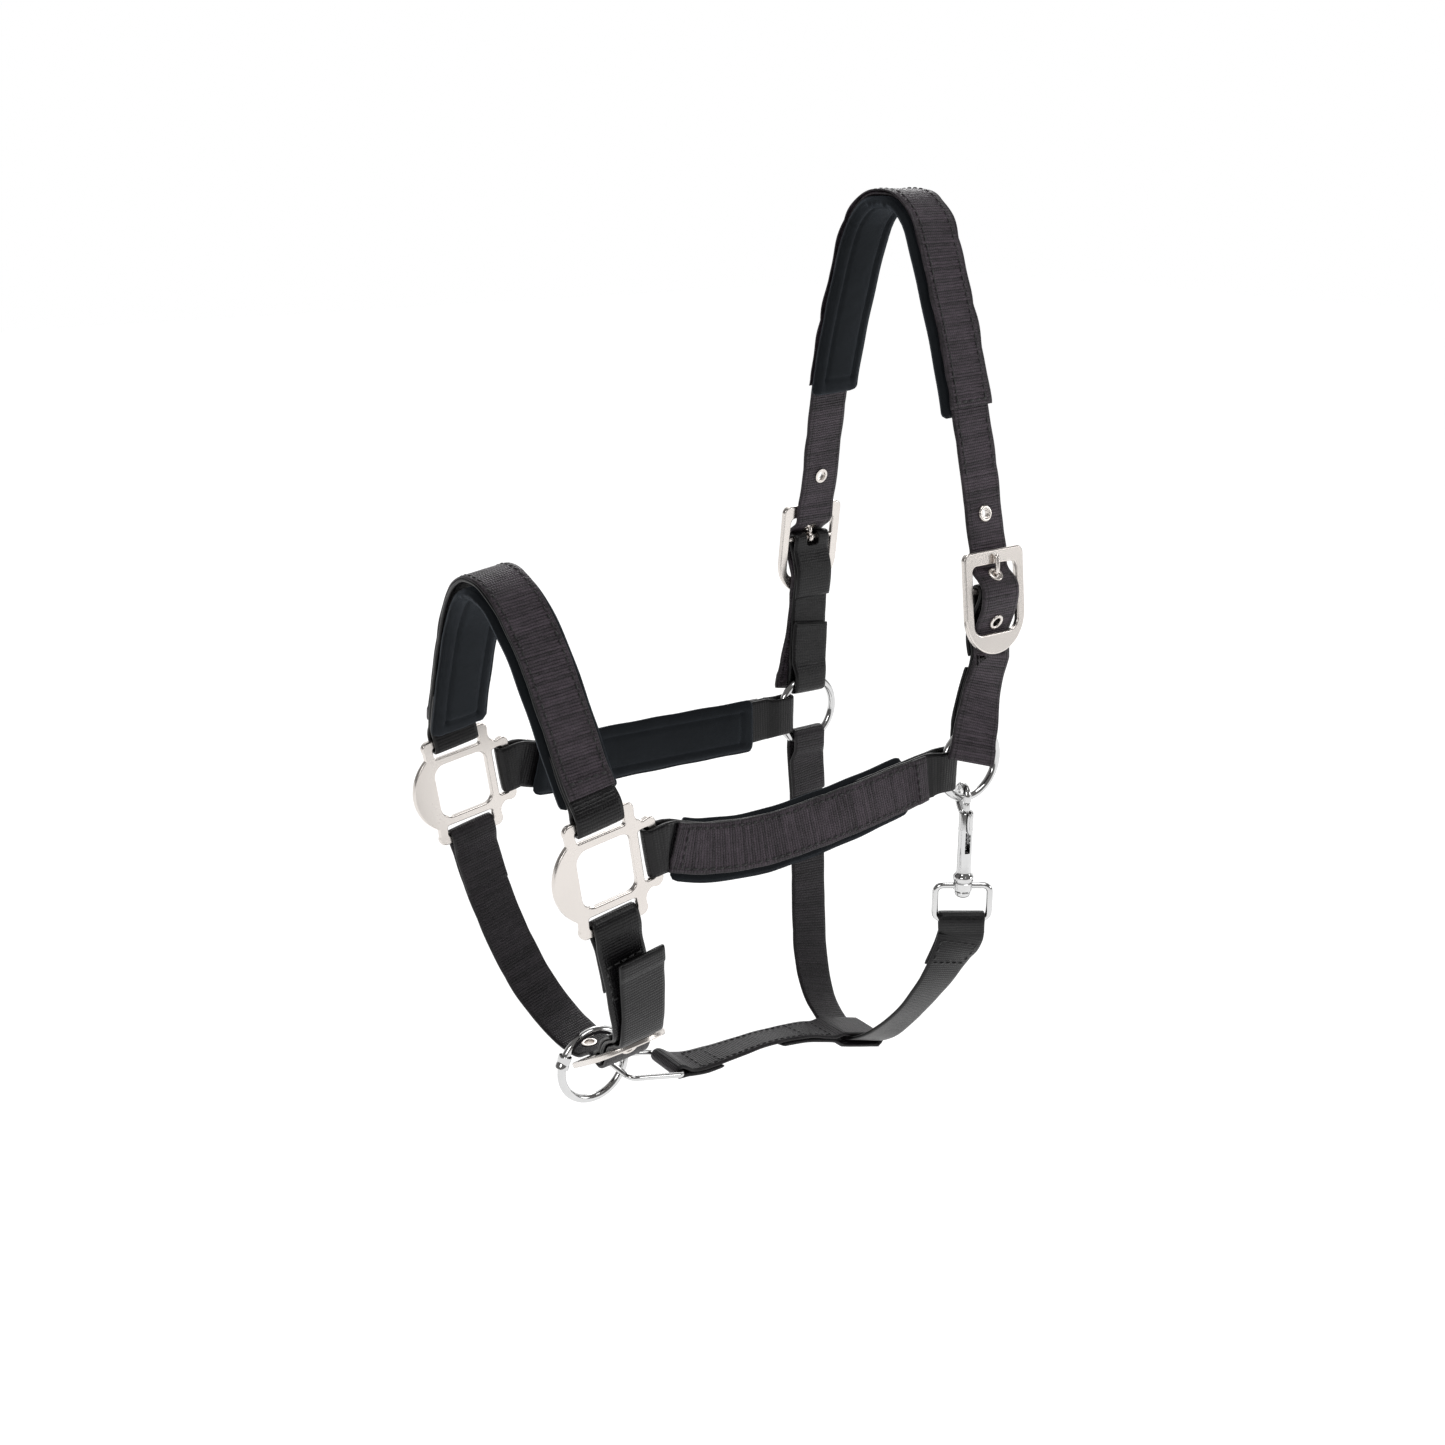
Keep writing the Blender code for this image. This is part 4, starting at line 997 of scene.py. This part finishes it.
def loose_chin(place, far):
    """The punched chin strap, from the far square through the chin buckle to its free end."""
    loose = [local(far, 0, -RIM_OUT, 0), (-223.6, 70.4, -333.0), (-218.8, 67.6, -354.0)]
    loose += [(-213.4, 61.0, -377.0), (-207.4, 50.0, -399.0), (-202.2, 34.0, -415.0)]
    loose += [(-199.0, 16.0, -422.6), (-198.0, 5.0, -423.9), (-198.2, -4.5, -422.0)]
    loose += [local(place, 0, v, n) for v, n in BUCKLE_RUN[::-1][:-1]]
    loose += [(-210.6, -66.6, -382.6), (-213.0, -72.2, -366.0), (-216.0, -76.6, -348.0), (-219.0, -80.4, -331.0)]
    wides = same(tuple(far[1]), 2) + same((1, 0, 0.05), 7)
    wides += same(tuple(place[1]), 14) + same((1, 0, 0.12), 4)
    t = rail(loose, wides, 3)
    path = fold(tail=34, **RIM_FOLD)
    past = path[-1][0]
    path += [(s, LAYER * max(0.0, 1 - (s - past) / 30), WEB) for s in t[0] if s > past + 2]
    rows = lay(t, path)
    total = rows[-1][0]
    hems = ((total - 9.5, total + 5),)
    item = strap("far_chin_webbing", rows, WEBBING, ("far_chin_strap",), seed=9.0, hems=hems)
    # the free end beyond the chin buckle in black satin: painted shade on this charcoal strap
    darker_near_part(item, SATIN, -0.06)
    third = np.array([-198.0, 3.6, -423.9])
    targets = [local(place, 0, 13.7, 1.0), local(place, 0, -10.0, 0.2), third]
    with_eyelets(item, rows, targets, [f"chin_eyelet_{k}" for k in (2, 1, 3)])
    high = rows_at(rows, (-223.6, 71.6, -335.0))
    runs = [(total - 7.6, None, 10.8), (high, None, CROSS_ROW), (high + 19, None, CROSS_ROW)]
    runs += box(high, high + 19)
    stitches("far_chin_stitching", rows, runs, ON_WEB)


def throat():
    x, y = SNAP_AXIS
    ring = CHEEK_RING[1]
    points = [(x, y, EYE_BAR_Z), (x, y + 0.6, EYE_BAR_Z - 12), (-6.0, -67.6, -401.0), (-9.0, -57.6, -421.0)]
    points += [(-12.6, -43.0, -443.0), (-15.6, -27.0, -461.5), (-18.0, -13.0, -471.4), (-19.0, 0.0, -473.2)]
    points += [(-18.4, 13.0, -471.8), (-16.0, 28.0, -465.6), (-11.4, 42.0, -454.6), (-5.0, 54.5, -436.0)]
    points += [(0.6, 63.4, -408.0), (3.4, 68.4, -372.0), (2.6, 69.9, -340.0)]
    points += [(ring[0], 70.1, ring[2] - RING_MID - 9), (ring[0], 70.0, ring[2] - RING_MID)]
    wides = same((-math.cos(EYE_TURN), -math.sin(EYE_TURN), 0), 2)
    wides += [(-0.93, 0.3, 0), (-0.97, 0.12, 0.1), (-0.95, 0, 0.2)]
    wides += same((-0.94, 0, 0.33), 5) + [(-0.97, 0, 0.2), (-0.99, 0, 0.1)] + same((-1, 0, 0), 5)
    r = rail(points, wides, 5)
    eye = {"near": 0.0, "hold": 0.5, "reach": 3.4, "narrow": WEB}
    rows = lay(r, double_fold(r[0][-1], eye, 34, RING_FOLD, 34, 40))
    item = strap("throat_webbing", rows, WEBBING, ("throat_strap",), seed=10.0)
    darker_near_part(item, SATIN, -0.012)
    low = rows_at(rows, (x, y + 0.4, EYE_BAR_Z - 14))
    high = rows_at(rows, (ring[0] + 1, 71.4, ring[2] - RING_MID - 17))
    runs = [(s, None, CROSS_ROW) for s in (low, low + 16, high, high - 16)]
    runs += box(low, low + 16) + box(high - 16, high)
    stitches("throat_stitching", rows, runs, ON_WEB)


def jaw():
    points = [LINK_REAR, (-135.0, 0, -455.0), (-112.0, 0, -456.6), (-86.0, 0, -457.4), (-60.0, 0, -461.0)]
    points += [(-42.0, 0, -465.9), (-19.0, 0, -473.4)]
    roll = (0, 0.04, 0.16, 0.2, 0.14, 0.03, 0)
    r = rail(points, [(0, -1, q) for q in roll], 5)
    link = {"near": 0.0, "hold": 0.0, "reach": 2.95, "narrow": WEB}
    loop = {"near": -13.4, "hold": 13.6, "reach": 3.5, "narrow": WEB}
    rows = lay(r, double_fold(r[0][-1], link, 30, loop, 62, 14))
    strap("jaw_webbing", rows, WEBBING, ("jaw_strap",), seed=11.0)
    low = rows_at(rows, (-135.0, 0, -454.0))
    high = rows_at(rows, (-42.0, 0, -464.9))
    runs = [(s, None, CROSS_ROW) for s in (low, low + 13, high, high - 20)]
    runs += box(low, high, EDGE_ROW)
    stitches("jaw_stitching", rows, runs, ON_WEB)


# metal pieces


def nose_square(word, side):
    place = square_place(side)
    outline = (
        arc(-15.4, 26.0, 3.8, 90, 212, 12) + arc(-4.0, 0, 24.6, 126, 234, 40)
        + arc(-15.4, -26.0, 3.8, 148, 270, 12) + arc(15.4, -26.0, 3.8, -90, 20, 12)
        + arc(24.1, -22.8, 5.2, 195, 103, 10) + arc(26.0, -14.6, 3.8, -103, 0, 12)
        + arc(26.0, 14.6, 3.8, 0, 103, 12) + arc(24.1, 22.8, 5.2, 257, 165, 10)
        + arc(15.4, 26.0, 3.8, -20, 90, 12)
    )
    window = arc(10, 10, 5, 0, 90) + arc(-8.5, 8.5, 6.5, 90, 180)
    window += arc(-8.5, -8.5, 6.5, 180, 270) + arc(10, -10, 5, 270, 360)
    holes = [window, round_box(-13.4, 13.4, 19.4, 25.4, 1.4)]
    holes += [round_box(-13.4, 13.4, -25.4, -19.4, 1.4), round_box(19.4, 25.4, -13.4, 13.4, 1.4)]
    verts, faces = plate_mesh([outline] + holes, place, PLATE, 0.75)
    nodes = (f"{word}_nose_square",)
    true_faces(put(f"{word}_nose_plate", verts, faces, NICKEL, "straps", nodes, None, 34))


def buckle(word, place):
    outline = arc(17, 23.5, 4, 0, 90) + arc(-17, 23.5, 4, 90, 180) + arc(0, -6.5, 21, 180, 360, 40)
    window = arc(12.5, 17, 3, 0, 90) + arc(-12.5, 17, 3, 90, 180)
    window += arc(-9.5, -10.2, 6, 180, 270) + arc(9.5, -10.2, 6, 270, 360)
    plate = plate_mesh([outline, window], place, PLATE, 0.8)
    c = local(place, 0, 7, 0)
    line = [c + place[1] * (-17.4 + 34.8 * k / 12) for k in range(13)]
    bar = wire(line, [1.2 if k in (0, 12) else 1.5 for k in range(13)])
    verts, faces = merged([plate, bar])
    nodes = (f"{word}_buckle",)
    true_faces(put(f"{word}_buckle_frame", verts, faces, NICKEL, "straps", nodes, None, 34))
    tongue(word, place)


def tongue(word, place):
    """A buckle's pin with the loop that turns on the bar."""
    shaft = [(9.4, 0.0), (11.3, -0.3), (13.9, 1.1), (16.3, 3.0), (19.0, 3.5), (25.4, 3.3)]
    pts, radii = round_tube([local(place, 0, v, n) for v, n in shaft], 1.3, 6)
    radii = [q * (0.9 + 0.1 * min(1.0, k / 12)) for k, q in enumerate(radii)]
    radii[0] = 1.2
    pin = wire(pts, radii)
    profile = [(q, z * 2.15) for q, z in arc(2.5, 0.0, 0.7, 0, 360, 10)[:-1]]
    loop = lathe(local(place, 0, 7, 0), *place[1:], profile, 36)
    verts, faces = merged([pin, loop])
    body = f"{word}_tongue"
    put(f"{word}_tongue_pin", verts, faces, NICKEL, body, (body,), None, 45)


def hoop(name, centre, node, body):
    turn = [2 * math.pi * k / 120 for k in range(120)]
    pts = [centre + RING_MID * np.array([math.cos(a), 0, math.sin(a)]) for a in turn]
    tube(name, pts, RING_WIRE, CHROME, body, (node,), 28, True, np.array([0.0, 1.0, 0.0]))


def rings():
    for word, side in SIDES.items():
        hoop(f"{word}_ring", CHEEK_RING[side], f"{word}_cheek_ring", f"{word}_cheek_ring")
    hoop("chin_ring_wire", CHIN_RING, "chin_ring", "chin_ring")
    a = math.radians(158)
    spot = CHIN_RING + RING_MID * np.array([math.cos(a), 0, math.sin(a)])
    along = np.array([-math.sin(a), 0, math.cos(a)])
    half = [(3.5, 0.8), (3.7, 1.1), (3.7, 3.3), (3.45, 3.6), (3.15, 3.6), (2.9, 3.3)]
    profile = [(q, -z) for q, z in half[::-1]] + half
    turned("chin_sleeve", spot, along, profile, CHROME, "chin_ring", ("chin_ring_sleeve",), 40)


def chin_link():
    front, rear = np.array([-184.4, 0.0, -440.3]), np.array(LINK_REAR)
    length = np.linalg.norm(rear - front)
    along, across = (rear - front) / length, np.array([0.0, 1.0, 0.0])
    outline = round_box(0, length, -15.2, 15.2, 4.0, 10)
    pts = even([front + along * a + across * b for a, b in outline], 1.5)
    flat = unit(np.cross(along, across))
    tube("chin_oblong", pts, 1.6, CHROME, "straps", ("chin_link",), 24, True, flat)


def even(points, step):
    """A closed line cut into even lengths."""
    pts = np.array(points + [points[0]], float)
    length = lengths(pts)
    count = int(length[-1] / step)
    return [lerp(length[-1] * k / count, length, pts) for k in range(count)]


def snap_point(e, b, z):
    """A point in the snap's own directions: across the gate, away from the thumb piece, up."""
    x, y = SNAP_AXIS
    c, s = math.cos(SNAP_TURN), math.sin(SNAP_TURN)
    return np.array([x + e * c - b * s, y + e * s + b * c, z])


def block(e0, e1, b0, b1, z0, z1):
    corners = ((e0, b0), (e1, b0), (e1, b1), (e0, b1))
    verts = [snap_point(e, b, z) for z in (z0, z1) for e, b in corners]
    return verts, [(0, 3, 2, 1), (4, 5, 6, 7), (0, 1, 5, 4), (1, 2, 6, 5), (2, 3, 7, 6), (3, 0, 4, 7)]


def rod(centre, radius, half, sides=40):
    """A closed upright cylinder."""
    axis = np.array(UPRIGHT, float)
    side = unit(np.cross(axis, [0.3, 0.9, 0.2]))
    other = np.cross(axis, side)
    turn = [2 * math.pi * k / sides for k in range(sides)]
    rim = [(side * math.cos(a) + other * math.sin(a)) * radius for a in turn]
    return grid([[np.array(centre) + axis * h + q for q in rim] for h in (-half, half)])


def snap():
    x, y = SNAP_AXIS
    centre = (x, y, 0)
    profile = [
        (0.01, -310.2), (2.9, -310.2), (3.5, -310.5), (3.9, -311.3), (3.9, -319.5), (4.05, -320.0),
        (4.05, -321.0), (3.9, -321.5), (3.9, -345.6), (4.3, -346.8), (5.2, -347.5), (5.6, -348.3),
        (5.6, -350.4), (5.3, -350.9), (2.6, -351.0), (2.3, -351.3), (2.3, -356.9), (2.6, -357.2),
        (4.1, -357.2), (4.4, -357.5), (4.4, -358.9), (3.8, -359.9), (2.6, -360.4), (0.01, -360.4),
    ]
    item = turned("snap_body", centre, UPRIGHT, profile, CHROME, "snap_hook", ("snap_hook",), 56, False)
    turn = [(1.5, -316.5), (4.3, -313.2), (8.6, -310.4), (11.7, -306.0), (11.4, -301.2), (7.6, -298.0)]
    turn += [(3.0, -298.2), (0.3, -301.2), (0.0, -305.1)]
    line = smooth([snap_point(0, b, z) for b, z in turn], 8)
    radii = [2.2 - 0.25 * math.sin(math.pi * k / (len(line) - 1)) for k in range(len(line))]
    combine(item, *wire(line, radii, 28), "UNION")
    combine(item, *rod((x, y, -322.1), 2.2, 14.0))
    combine(item, *block(-1.5, 1.5, -6.0, 0.0, -334.0, -306.0))
    finish_metal(item, 38)
    snap_bolt(centre)
    coil = [(1.0, a * math.pi / 8, -324.0 - 11.2 * a / 80) for a in range(81)]
    pts = [(x + q * math.cos(a), y + q * math.sin(a), z) for q, a, z in coil]
    nodes = ("snap_spring",)
    tube("snap_spring_coil", pts, 0.3, SPRING, "snap_hook", nodes, 10)
    swivel_eye()


def snap_bolt(centre):
    """The sliding bolt, bored from below for its spring, with the thumb piece."""
    profile = [(0.01, -305.6), (1.2, -305.6), (1.65, -305.9), (1.85, -306.5), (1.85, -322.3)]
    profile += [(1.78, -322.6), (1.5, -322.6), (1.5, -313.0), (0.01, -313.0)]
    nodes = ("snap_bolt",)
    bolt = turned("snap_bolt_pin", centre, UPRIGHT, profile, CHROME, "snap_bolt", nodes, 40, False)
    thumb = []
    for k in range(13):
        t = k / 12
        size = 0.55 + 0.45 * math.sqrt(max(0.0, 1 - (2 * t - 1) ** 2))
        z = -321.6 + 10.6 * t
        depth = -6.6 + 0.5 * (1 - size)
        section = ((-0.7, depth), (0.7, depth), (1.0, depth + 0.5), (1.0, -1.5), (-1.0, -1.5), (-1.0, depth + 0.5))
        thumb.append([snap_point(e * 1.1 * size, b, z) for e, b in section])
    combine(bolt, *grid(thumb), "UNION")
    finish_metal(bolt, 40)


def swivel_eye():
    """The square swivel eye with its bored boss."""
    x, y = SNAP_AXIS
    across = np.array([math.cos(EYE_TURN), math.sin(EYE_TURN), 0])
    centre = np.array([x, y, 0.0])
    outline = round_box(-14.9, 14.9, EYE_BAR_Z, -354.0, 4.0, 10)
    pts = even([centre + across * e + np.array([0, 0, z]) for e, z in outline], 1.4)
    normal = np.cross(across, [0, 0, 1])
    nodes = ("snap_swivel_eye",)
    item = tube("snap_eye_loop", pts, 1.8, CHROME, "straps", nodes, 26, True, normal)
    profile = [(0.02, 2.7), (4.6, 2.7), (5.2, 2.1), (5.2, -2.1), (4.6, -2.7), (0.02, -2.7)]
    boss = lathe(np.array([x, y, -354.0]), *np.eye(3)[[2, 0, 1]], profile, 40, False)
    combine(item, *boss, "UNION")
    combine(item, *rod((x, y, -354.0), 2.65, 9))
    finish_metal(item, 38)


def finish_metal(item, angle):
    item.data.polygons.foreach_set("use_smooth", [True] * len(item.data.polygons))
    item.data.set_sharp_from_angle(angle=math.radians(angle))


def build():
    crown()
    noseband()
    for word, side in SIDES.items():
        cheek(word, side)
        buckle_strap(word, side)
        nose_square(word, side)
        buckle(word, buckle_place(side))
    chin()
    buckle("chin", chin_place())
    throat()
    jaw()
    rings()
    chin_link()
    snap()


# the studio


def studio():
    floor_mesh = bpy.data.meshes.new("floor")
    reach, level = 6.0, -0.62
    corners = [(x * reach, y * reach, level) for x, y in ((-1, -1), (1, -1), (1, 1), (-1, 1))]
    floor_mesh.from_pydata(corners, [], [(0, 1, 2, 3)])
    floor = bpy.data.objects.new("floor", floor_mesh)
    bpy.context.collection.objects.link(floor)
    white = Nodes("floor_white")
    white.set(Roughness=0.9, Base_Color=(0.4, 0.4, 0.4, 1))
    white.set(Emission_Color=(1, 1, 1, 1), Emission_Strength=0.86)
    floor_mesh.materials.append(white.mat)
    backdrop()
    middle = (-0.1, 0, -0.25)
    lamp("key", (-1.7, -0.9, 0.7), middle, 0.7, 8)
    lamp("top", (0.1, -0.7, 1.2), middle, 0.9, 9)
    lamp("side", (1.3, -1.1, 0.1), middle, 0.5, 4)
    lamp("rim", (1.0, 1.4, 0.6), middle, 0.8, 7)


def backdrop():
    """A white wall behind the object, grey in front of it for the metal to reflect."""
    world = bpy.data.worlds.new("studio")
    bpy.context.scene.world = world
    world.use_nodes = True
    tree = world.node_tree
    back = tree.nodes["Background"]
    place = tree.nodes.new("ShaderNodeTexCoord")
    facing_wall = tree.nodes.new("ShaderNodeVectorMath")
    facing_wall.operation = "DOT_PRODUCT"
    facing_wall.inputs[1].default_value = (0.59, 0.81, 0.0)
    tree.links.new(place.outputs["Generated"], facing_wall.inputs[0])
    ramp = tree.nodes.new("ShaderNodeValToRGB")
    tree.links.new(facing_wall.outputs["Value"], ramp.inputs[0])
    stops = ramp.color_ramp.elements
    stops[0].position, stops[0].color = 0.4, (0.17, 0.166, 0.163, 1)
    stops[1].position, stops[1].color = 0.72, (1, 1, 1, 1)
    tree.links.new(ramp.outputs["Color"], back.inputs["Color"])
    back.inputs["Strength"].default_value = 1.0


def lamp(name, spot, target, size, power):
    light = bpy.data.lights.new(name, "AREA")
    light.shape = "SQUARE"
    light.size = size
    light.energy = power
    item = bpy.data.objects.new(name, light)
    bpy.context.collection.objects.link(item)
    item.location = spot
    way = Vector(target) - Vector(spot)
    item.rotation_euler = way.to_track_quat("-Z", "Y").to_euler()


def camera():
    data = bpy.data.cameras.new("camera")
    data.lens = 42.35
    data.sensor_width = 36.0
    item = bpy.data.objects.new("camera", data)
    bpy.context.collection.objects.link(item)
    a, e = math.radians(-36.18), math.radians(18.79)
    back = Vector((math.sin(a) * math.cos(e), -math.cos(a) * math.cos(e), math.sin(e)))
    item.location = (-0.6145, -0.6861, 0.0305)
    item.rotation_euler = back.to_track_quat("Z", "Y").to_euler()
    data.clip_start = 0.01
    bpy.context.scene.camera = item


build()
studio()
camera()
bpy.context.scene.view_settings.view_transform = "Standard"
